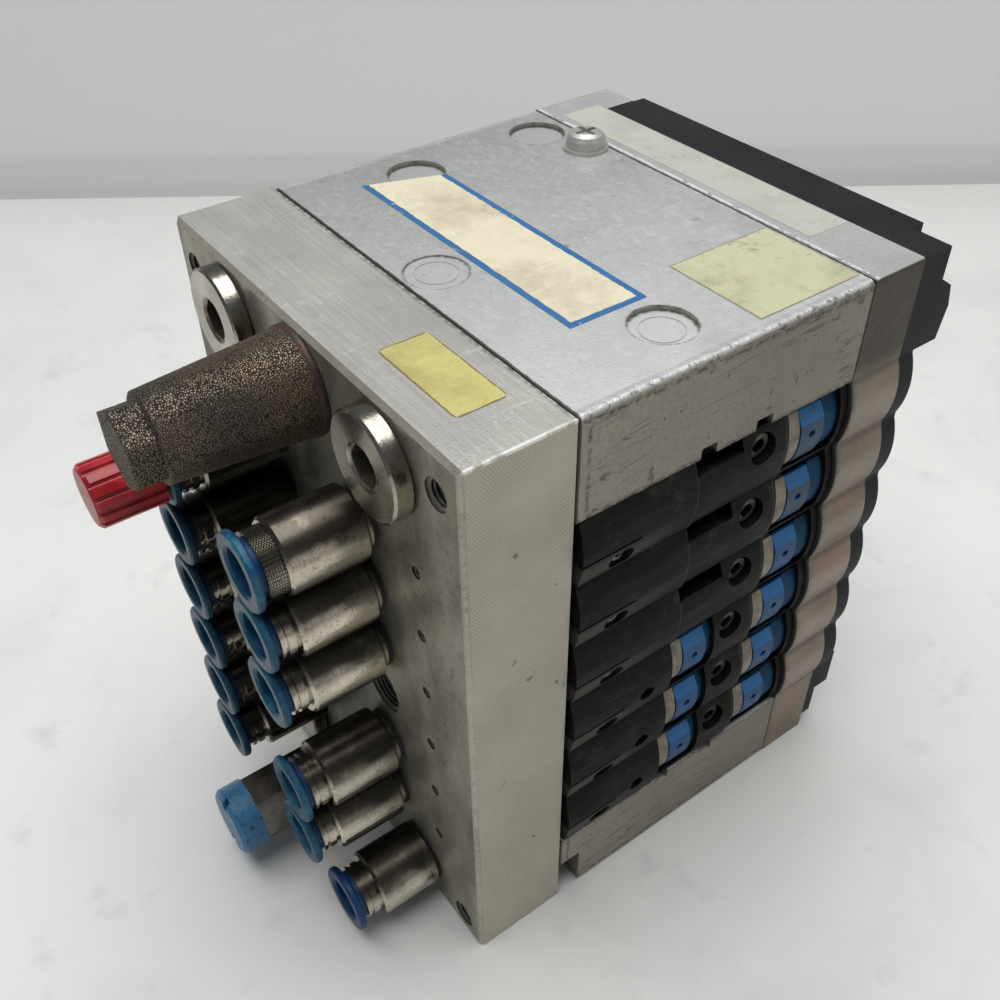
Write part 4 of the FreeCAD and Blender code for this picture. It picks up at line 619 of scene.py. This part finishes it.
def slice_screw_metal():
    """Screws in the slices: grey rims round black sockets."""
    g = Graph("slice_screw_metal")
    y = g.axis(g.place, "Y")
    height = g.times(slice_height(g), SLICE_PITCH * MM)
    front = g.below(y, (LABEL_SCREW[0] + PILOT_SCREW[0]) / 2)
    along = g.math("SUBTRACT", y, g.span(front, PILOT_SCREW[0] * MM, LABEL_SCREW[0] * MM))
    above = g.math("SUBTRACT", height, g.span(front, PILOT_SCREW[1] * MM, LABEL_SCREW[1] * MM))
    inside = g.math("LESS_THAN", g.length(along, above), g.span(front, 1.3 * MM, 0.7 * MM))
    wear = g.patches(0.4, 0.6, 600.0, 4.0)
    rims = g.mix(front, (0.10, 0.095, 0.085), (0.26, 0.25, 0.23))
    color = g.mix(wear, rims, (0.05, 0.047, 0.042))
    color = g.mix(inside, color, (0.004, 0.004, 0.004))
    relief = g.bump(g.noise(1500.0, 3.0), 0.00004)
    return g.finish(color, 0.38, 0.7, relief)


def plug_metal():
    """The plugs: fine rings round each socket on the face, satin on the rim."""
    g = Graph("plug_metal")
    x, z = g.places("XZ")
    across = g.from_place(g.size(x), SUPPLY_COLUMN)
    middle = g.span(g.above(z, MID_HEIGHT), LOWER_SUPPLY * MM, UPPER_SUPPLY * MM)
    radius = g.length(across, g.math("SUBTRACT", z, middle))
    color, rough, _ = tarnished(g, (0.50, 0.465, 0.39), (0.20, 0.18, 0.145), 0.4)
    inside = g.slope(radius, 4.3, 3.3)
    rust = g.mix(g.patches(0.4, 0.6, 500.0, 3.0), (0.11, 0.072, 0.045), (0.048, 0.038, 0.031))
    color = g.tint(color, rust, inside, 0.85)
    face = g.times(facing(g, "Y", 0.6, 0.9), g.inverse(inside))
    rings = g.times(g.wave(radius, PLUG_RING_PITCH), face)
    relief = g.bump(rings, 0.000014)
    relief = g.bump(g.noise(1500.0, 2.0), 0.00003, relief)
    return g.finish(color, rough, g.span(inside, 1.0, 0.5), relief)


def blue_plastic(name, base, pale, dirt_share):
    """Blue plastic rubbed pale in places, with dirt in crumbs."""
    g = Graph(name)
    wear = g.patches(0.45, 0.7, 420.0, 4.0, rough=0.65)
    color = g.mix(g.times(wear, 0.6), base, pale)
    dirt = g.patches(0.54, 0.64, 900.0, 5.0, rough=0.7)
    color = g.tint(color, (0.012, 0.016, 0.024), dirt, dirt_share)
    relief = g.bump(g.noise(2000.0, 3.0), 0.00005)
    return g.finish(color, g.span(wear, 0.38, 0.55), 0.0, relief)


def ring_plastic():
    """Release rings: worn sky blue outside, speckled face, deep clean blue behind it, painted shade
    on the left column.
    """
    g = Graph("ring_plastic")
    wear = g.patches(0.42, 0.7, 420.0, 4.0, rough=0.65)
    color = g.mix(wear, (0.005, 0.062, 0.115), (0.020, 0.150, 0.240))
    face = g.ramp(g.axis(g.normal, "Y"), -0.85, -0.97)
    specks = g.patches(0.50, 0.58, 850.0, 5.0, rough=0.75)
    color = g.tint(color, (0.004, 0.03, 0.055), face, 0.3)
    color = g.tint(color, (0.010, 0.017, 0.026), specks, face, 0.85)
    pale = g.patches(0.58, 0.68, 650.0, 3.0)
    color = g.tint(color, (0.24, 0.36, 0.43), pale, face, 0.5)
    x, y = g.places("XY")
    inner = g.slope(y, PLATE_FRONT - RING_REACH, PLATE_FRONT - RING_REACH + 1.0)
    color = g.tint(color, (0.004, 0.034, 0.120), inner, 0.9)
    # Painted shade: the rings in the left column are darker.
    left = g.slope(x, 0.0, -8.0)
    color = g.tint(color, (0.003, 0.018, 0.034), left, 0.45)
    relief = g.bump(g.noise(1800.0, 3.0), 0.00006)
    return g.finish(color, g.span(wear, 0.38, 0.5), 0.0, relief, Specular_IOR_Level=0.3)


def override_plastic():
    """Overrides: painted light on the sloped top, greyed by fingers on the face, deep blue at the
    ends.
    """
    g = Graph("override_plastic")
    slope = g.ramp(g.axis(g.normal, "Z"), 0.25, 0.6)
    upper_rows = g.slope(g.axis(g.place, "Z"), UPPER_ROWS - 3.0, UPPER_ROWS + 3.0)
    grime = g.patches(0.28, 0.62, 300.0, 4.0, rough=0.65)
    fresh = g.mix(upper_rows, (0.014, 0.09, 0.28), (0.024, 0.085, 0.165))
    worn = g.mix(upper_rows, (0.022, 0.07, 0.15), (0.038, 0.066, 0.09))
    color = g.mix(grime, fresh, worn)
    # Painted light: the sloped top is brighter.
    color = g.mix(slope, color, (0.018, 0.16, 0.41))
    side = facing(g, "Y", 0.6, 0.9)
    color = g.mix(side, color, (0.01, 0.07, 0.22))
    specks = g.patches(0.6, 0.68, 1200.0, 4.0)
    color = g.tint(color, (0.02, 0.03, 0.045), specks, 0.4)
    relief = g.bump(g.noise(1800.0, 3.0), 0.00006)
    return g.finish(color, 0.46, 0.0, relief, Specular_IOR_Level=0.2)


def plain(name, base, other, scale, rough, metallic=0.0, grain=0.00005, **fixed):
    """Two tones in soft patches, with a fine grain."""
    g = Graph(name)
    share = g.patches(0.35, 0.65, scale, 4.0)
    relief = g.bump(g.noise(2400.0, 2.0), grain)
    return g.finish(g.mix(share, base, other), g.span(share, rough, rough + 0.12), metallic, relief,
                    **fixed)


def silencer_bronze():
    """Sintered beads: brown tips, black hollows, sooty patches, a smooth rusty rim."""
    g = Graph("silencer_bronze")
    bead = g.ramp(g.cell_edges(BEADS_PER_METRE), 0.02, 0.20)
    tone = g.noise(45.0, 4.0)
    tips = g.mix(g.ramp(tone, 0.36, 0.62), (0.20, 0.147, 0.092), (0.225, 0.188, 0.145))
    soot_and_shade = g.patches(0.48, 0.64, 80.0, 3.0)
    tips = g.tint(tips, (0.085, 0.077, 0.07), soot_and_shade, 0.6)
    color = g.mix(bead, (0.014, 0.012, 0.010), tips)
    rim = g.slope(g.axis(g.place, "Y"), PLATE_FRONT - 1.5, PLATE_FRONT - 1.1)
    rust = g.mix(g.patches(0.42, 0.58, 300.0, 4.0), (0.06, 0.045, 0.043), (0.10, 0.052, 0.042))
    color = g.mix(rim, color, rust)
    relief = g.bump(g.times(bead, g.span(rim, 1.0, 0.0)), 0.00014)
    return g.finish(color, g.span(bead, 0.8, 0.42), 0.55, relief)


def paper(name, base, stain, box, border=None, edge=None):
    """Worn paper for a label in the box. border is the colour of a band along three of its sides,
    edge that of a thin line along all four."""
    left, front, right, back = box
    border_width, edge_width = 1.2, 0.25
    g = Graph(name)
    stains = g.patches(0.46, 0.70, 95.0, 5.0, rough=0.68)
    color = g.mix(stains, base, stain)
    soil = g.times(g.patches(0.56, 0.66, 340.0, 5.0, rough=0.75), g.patches(0.45, 0.6, 60.0, 2.0))
    color = g.tint(color, tuple(c * 0.45 for c in stain), soil, 0.5)
    rub = g.patches(0.6, 0.72, 1.0, 3.0, g.scaled((900.0, 200.0, 200.0), (0, 0, 0.7)))
    color = g.tint(color, tuple(min(1.0, c * 1.15) for c in base), rub, 0.5)
    fibre = g.noise(1500.0, 2.0)
    color = g.tint(color, stain, g.ramp(fibre, 0.6, 0.75), 0.25)
    ragged = g.times(g.math("SUBTRACT", g.noise(700.0, 2.0), 0.5), 0.5 * MM)
    x, y = (g.plus(value, ragged) for value in g.places("XY"))
    if border:
        ink = g.most(
            g.below(y, front + border_width), g.above(y, back - border_width),
            g.above(x, right - border_width),
        )
        worn = g.span(g.patches(0.62, 0.72, 500.0, 4.0), 1.0, 0.35)
        color = g.tint(color, border, ink, worn)
    if edge:
        ink = g.most(
            g.below(x, left + edge_width), g.above(x, right - edge_width),
            g.below(y, front + edge_width), g.above(y, back - edge_width),
        )
        color = g.tint(color, edge, ink, 0.8)
    relief = g.bump(fibre, 0.00003)
    return g.finish(color, g.span(stains, 0.38, 0.55), 0.0, relief)


def label(name, box, corner, material, cut=0.0):
    """A thin sheet with rounded corners, lying on the top. cut slants its left end."""
    left, front, right, back = box
    middles = (
        (right - corner, back - corner, 0), (left + corner + cut, back - corner, 90),
        (left + corner, front + corner, 180), (right - corner, front + corner, 270),
    )
    steps = 6
    outline = []
    for x, y, start in middles:
        for step in range(steps + 1):
            angle = math.radians(start + 90 * step / steps)
            outline.append((x + corner * math.cos(angle), y + corner * math.sin(angle)))
    mesh = bmesh.new()
    face = mesh.faces.new([mesh.verts.new((x * MM, y * MM, STACK_TOP * MM)) for x, y in outline])
    raised = bmesh.ops.extrude_face_region(mesh, geom=[face])
    lifted = [item for item in raised["geom"] if isinstance(item, bmesh.types.BMVert)]
    bmesh.ops.translate(mesh, verts=lifted, vec=(0, 0, LABEL_THICKNESS * MM))
    bmesh.ops.recalc_face_normals(mesh, faces=mesh.faces)
    piece = to_object(name, mesh, material)
    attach(piece, "base")


def to_object(name, mesh, material):
    data = bpy.data.meshes.new(name)
    mesh.to_mesh(data)
    mesh.free()
    data.materials.append(material)
    piece = bpy.data.objects.new(name, data)
    bpy.context.collection.objects.link(piece)
    return piece


def silencer_stations():
    """Distances from the plate along the silencer, each with the zone it is in."""
    stations = [(0.0, "rim"), (0.35, "rim"), (RIM_LENGTH - 0.1, "rim"), (RIM_LENGTH, "cone")]
    depth = RIM_LENGTH
    while depth < CONE_END - 0.6:
        depth += STATION_STEP
        stations.append((depth, "cone"))
    stations += [(CONE_END - 0.3, "cone"), (CONE_END - 0.05, "shoulder"), (CONE_END, "hexagon")]
    depth = CONE_END
    while depth < SILENCER_END - 0.5:
        depth += STATION_STEP
        stations.append((depth, "hexagon"))
    return stations + [(SILENCER_END, "hexagon")]


def silencer_radius(depth, zone, angle):
    """The smooth radius, before the beads."""
    if zone == "rim":
        return RIM_RADIUS
    if zone == "shoulder":
        return CONE_TIP_RADIUS - 0.35
    if zone == "hexagon":
        sector = (angle + math.pi / 6) % (math.pi / 3) - math.pi / 6
        return min(HEXAGON_HALF_FLATS / math.cos(sector), HEXAGON_CORNER_RADIUS)
    share = (depth - RIM_LENGTH) / (CONE_END - RIM_LENGTH)
    return CONE_BASE_RADIUS + (CONE_TIP_RADIUS - CONE_BASE_RADIUS) * share


def grained(point, outward, amount):
    """The point moved in or out, so that the surface swells into beads."""
    distance = noise.voronoi(point / BEAD_SIZE)[0][0]
    return point + outward * (0.35 - distance) * amount


def in_the_middle_port(point):
    """A point of the silencer, moved to its port in the plate, in metres."""
    return point.x * MM, (point.y + PLATE_FRONT) * MM, (point.z + UPPER_SUPPLY) * MM


def grainy_silencer(material):
    """The silencer with its beads as real relief."""
    mesh = bmesh.new()
    rows = []
    for depth, zone in silencer_stations():
        row = []
        for number in range(SILENCER_SEGMENTS):
            angle = 2 * math.pi * number / SILENCER_SEGMENTS
            outward = Vector((math.cos(angle), 0, math.sin(angle)))
            point = outward * silencer_radius(depth, zone, angle) + Vector((0, -depth, 0))
            amount = 0.02 if zone == "rim" else BEAD_RELIEF * 2
            row.append(mesh.verts.new(in_the_middle_port(grained(point, outward, amount))))
        rows.append(row)

    # The end closes in shrinking rings
    rim = [(vert.co.x / MM, (vert.co.z - UPPER_SUPPLY * MM) / MM) for vert in rows[-1]]
    for share in END_RINGS:
        row = []
        for x, z in rim:
            point = Vector((x * share, -SILENCER_END, z * share))
            point = grained(point, Vector((0, -1, 0)), BEAD_RELIEF)
            row.append(mesh.verts.new(in_the_middle_port(point)))
        rows.append(row)
    for first, second in zip(rows, rows[1:]):
        for number in range(SILENCER_SEGMENTS):
            following = (number + 1) % SILENCER_SEGMENTS
            mesh.faces.new((first[number], first[following], second[following], second[number]))
    mesh.faces.new(rows[-1])
    mesh.faces.new(list(reversed(rows[0])))
    bmesh.ops.recalc_face_normals(mesh, faces=mesh.faces)
    for face in mesh.faces:
        face.smooth = True
    piece = to_object("silencer_grain", mesh, material)
    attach(piece, "base")
    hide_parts("silencer")


def floor_and_backdrop():
    """The pale floor, clouded and with painted shade darkening it away from the camera, and a low
    wall behind with a painted shadow at its foot.
    """
    g = Graph("floor_stone")
    clouds = g.patches(0.46, 0.68, 16.0, 5.0, rough=0.62, distortion=0.6)
    color = g.mix(g.times(clouds, 0.55), (0.79, 0.79, 0.77), (0.64, 0.645, 0.63))
    spots = g.patches(0.60, 0.74, 55.0, 4.0, rough=0.6)
    color = g.tint(color, (0.56, 0.565, 0.555), spots, 0.5)
    away = Vector((-math.sin(AZIMUTH), math.cos(AZIMUTH), 0))
    x, y = g.places("XY")
    distance = g.plus(g.times(x, away.x), g.times(y, away.y))
    # Painted shade: the floor darkens away from the camera.
    color = g.tint(color, (0.56, 0.56, 0.545), g.slope(distance, 50.0, 260.0), 0.6)
    stone = g.finish(color, 0.55, 0.0)
    mesh = bmesh.new()
    corners = ((-1, -1), (1, -1), (1, 1), (-1, 1))
    mesh.faces.new([mesh.verts.new((x * FLOOR_HALF, y * FLOOR_HALF, 0)) for x, y in corners])
    floor = to_object("floor", mesh, stone)

    # A low wall rises from the floor in a small curve, darker at its foot with a painted contact
    # shadow
    wall = Graph("wall_paint")
    foot_shadow = wall.slope(wall.axis(wall.place, "Z"), 14.0, 1.0)
    paint = wall.finish(wall.mix(foot_shadow, (0.81, 0.81, 0.815), (0.42, 0.42, 0.415)), 0.8, 0.0)
    along = Vector((away.y, -away.x, 0))
    start, steps = WALL_DISTANCE - WALL_CURVE, 8
    profile = [(start, 0.05)]
    for step in range(1, steps + 1):
        angle = math.radians(90.0 * step / steps)
        profile.append((start + WALL_CURVE * math.sin(angle), WALL_CURVE * (1 - math.cos(angle))))
    profile.append((WALL_DISTANCE, WALL_HEIGHT))
    mesh = bmesh.new()
    rows = []
    for distance, height in profile:
        middle = away * distance * MM + Vector((0, 0, height * MM))
        rows.append([mesh.verts.new(middle + along * side) for side in (-WALL_HALF, WALL_HALF)])
    for (a, b), (c, d) in zip(rows, rows[1:]):
        mesh.faces.new((a, b, d, c)).smooth = True
    to_object("wall", mesh, paint)


def make_world():
    world = bpy.data.worlds.new("world")
    bpy.context.scene.world = world
    world.use_nodes = True
    background = world.node_tree.nodes["Background"]
    background.inputs["Color"].default_value = (0.86, 0.92, 1.0, 1.0)
    background.inputs["Strength"].default_value = 0.17


def dress_nodes():
    """Give every node its material: by its name, else by the kind it is of, else steel."""
    coating = slice_coating()
    metal = nickel(painted_reflection=0.9)
    steel = nickel("screw_steel", (0.50, 0.50, 0.47), (0.22, 0.21, 0.19))
    rubber = plain("rubber", (0.012, 0.012, 0.012), (0.03, 0.028, 0.026), 300.0, 0.65)
    rings = ring_plastic()
    blue = override_plastic()
    named = {
        "connector_plate": milled_plate(),
        "upper_end_plate": cast_metal("cast_upper", UPPER_BLOCK_BASE, STACK_TOP),
        "lower_end_plate": cast_metal("cast_lower", LOWER_BLOCK_TOP, 0.0),
        "node_housing": housing_metal(),
        "node_cover": plain("cover_plastic", (0.010, 0.010, 0.011), (0.018, 0.018, 0.019), 90.0,
                            0.55, grain=0.00012, Specular_IOR_Level=0.2),
        "plate_gasket": rubber,
        "housing_gasket": rubber,
        "port_seals": rubber,
        "bore_caps": coating,
        # A darker copy of the nickel for the left fittings: painted shade, with soot.
        "fittings_left": nickel("nickel_shaded", (0.36, 0.325, 0.26), (0.05, 0.044, 0.035),
                                painted_reflection=1.0),
        "fittings_right": nickel("nickel_knurled", painted_reflection=0.9, knurl_height=UPPER_PORT),
        "centre_supply_fitting": metal,
        "port_plugs": plug_metal(),
        "earth_screw": plain("zinc", (0.60, 0.61, 0.575), (0.44, 0.45, 0.415), 260.0, 0.34,
                             metallic=0.6, grain=0.00004),
        "supply_cap": blue_plastic("cap_plastic", (0.03, 0.145, 0.29), (0.07, 0.24, 0.40), 0.7),
        "blanking_plug": plain("red_plastic", (0.30, 0.008, 0.014), (0.45, 0.02, 0.026), 200.0,
                               0.28, grain=0.00003),
        "override_seats": plain("seat_plastic", (0.25, 0.21, 0.15), (0.13, 0.11, 0.083), 400.0,
                                0.45),
        "light_windows": plain("window_plastic", (0.005, 0.035, 0.08), (0.012, 0.06, 0.13), 250.0,
                               0.5, Specular_IOR_Level=0.1),
        "slice_screws": slice_screw_metal(),
        "circuit_board": plain("board", (0.01, 0.09, 0.03), (0.02, 0.12, 0.05), 200.0, 0.4),
        "connector_insert": plain("insert", (0.012, 0.012, 0.012), (0.02, 0.02, 0.02), 300.0, 0.5),
        "connector_pins": nickel("pin_gold", (0.78, 0.58, 0.24), (0.6, 0.42, 0.16)),
        "connector_shell": nickel("shell_tin", (0.62, 0.62, 0.6), (0.42, 0.42, 0.4)),
    }
    kinds = {"valve_slice": coating, "ring": rings, "override": blue}
    for node_name, thing in nodes.items():
        matching = [kinds[kind] for kind in kinds if node_name.startswith(kind)]
        material = named.get(node_name) or (matching + [steel])[0]
        thing.data.materials.clear()
        thing.data.materials.append(material)


def round_edges():
    """Small worn bevels on the machined and moulded pieces."""
    widths = {
        "connector_plate": 0.25,
        "upper_end_plate": 0.3,
        "lower_end_plate": 0.3,
        "node_housing": 0.4,
        "node_cover": 0.4,
        "port_plugs": 0.15,
        "supply_cap": 0.2,
        "override_": 0.2,
        "valve_slice": 0.12,
    }
    for node_name, thing in nodes.items():
        matching = [widths[start] for start in widths if node_name.startswith(start)]
        if not matching:
            continue
        bevel = thing.modifiers.new("worn_edges", "BEVEL")
        bevel.width = matching[0] * MM
        bevel.segments = 2
        bevel.limit_method = "ANGLE"
        bevel.angle_limit = math.radians(35)


def add_labels():
    """Four bare paper labels on the top, with the looks of stained paper."""
    papers = (
        ("long_label", LONG_LABEL, 0.3, 5.0, (0.74, 0.68, 0.50), (0.54, 0.48, 0.345),
         {"border": (0.03, 0.14, 0.34)}),
        ("plate_label", PLATE_LABEL, 1.0, 0.0, (0.56, 0.51, 0.19), (0.38, 0.33, 0.11),
         {"edge": (0.16, 0.09, 0.03)}),
        ("corner_label", CORNER_LABEL, 0.3, 0.0, (0.56, 0.545, 0.36), (0.35, 0.335, 0.22),
         {"edge": (0.22, 0.20, 0.13)}),
        ("rear_label", REAR_LABEL, 0.3, 0.0, (0.50, 0.50, 0.44), (0.40, 0.40, 0.34), {}),
    )
    for name, box, corner, cut, base, stain, print_colors in papers:
        material = paper(name + "_paper", base, stain, box, **print_colors)
        label(name, box, corner, material, cut)


bpy.context.scene.view_settings.view_transform = "Standard"
make_camera()
make_world()
floor_and_backdrop()
add_lamp("overhead", (-0.08, 0.0, 0.95), (0, 0, 0.06), (1.0, 0.8), 10.0, (1.0, 1.0, 0.985))
add_lamp("side", (0.92, 0.44, 0.24), (0, 0, 0.06), (0.4, 0.4), 1.4, (1.0, 0.95, 0.88))
dress_nodes()
round_edges()
add_labels()
grainy_silencer(silencer_bronze())
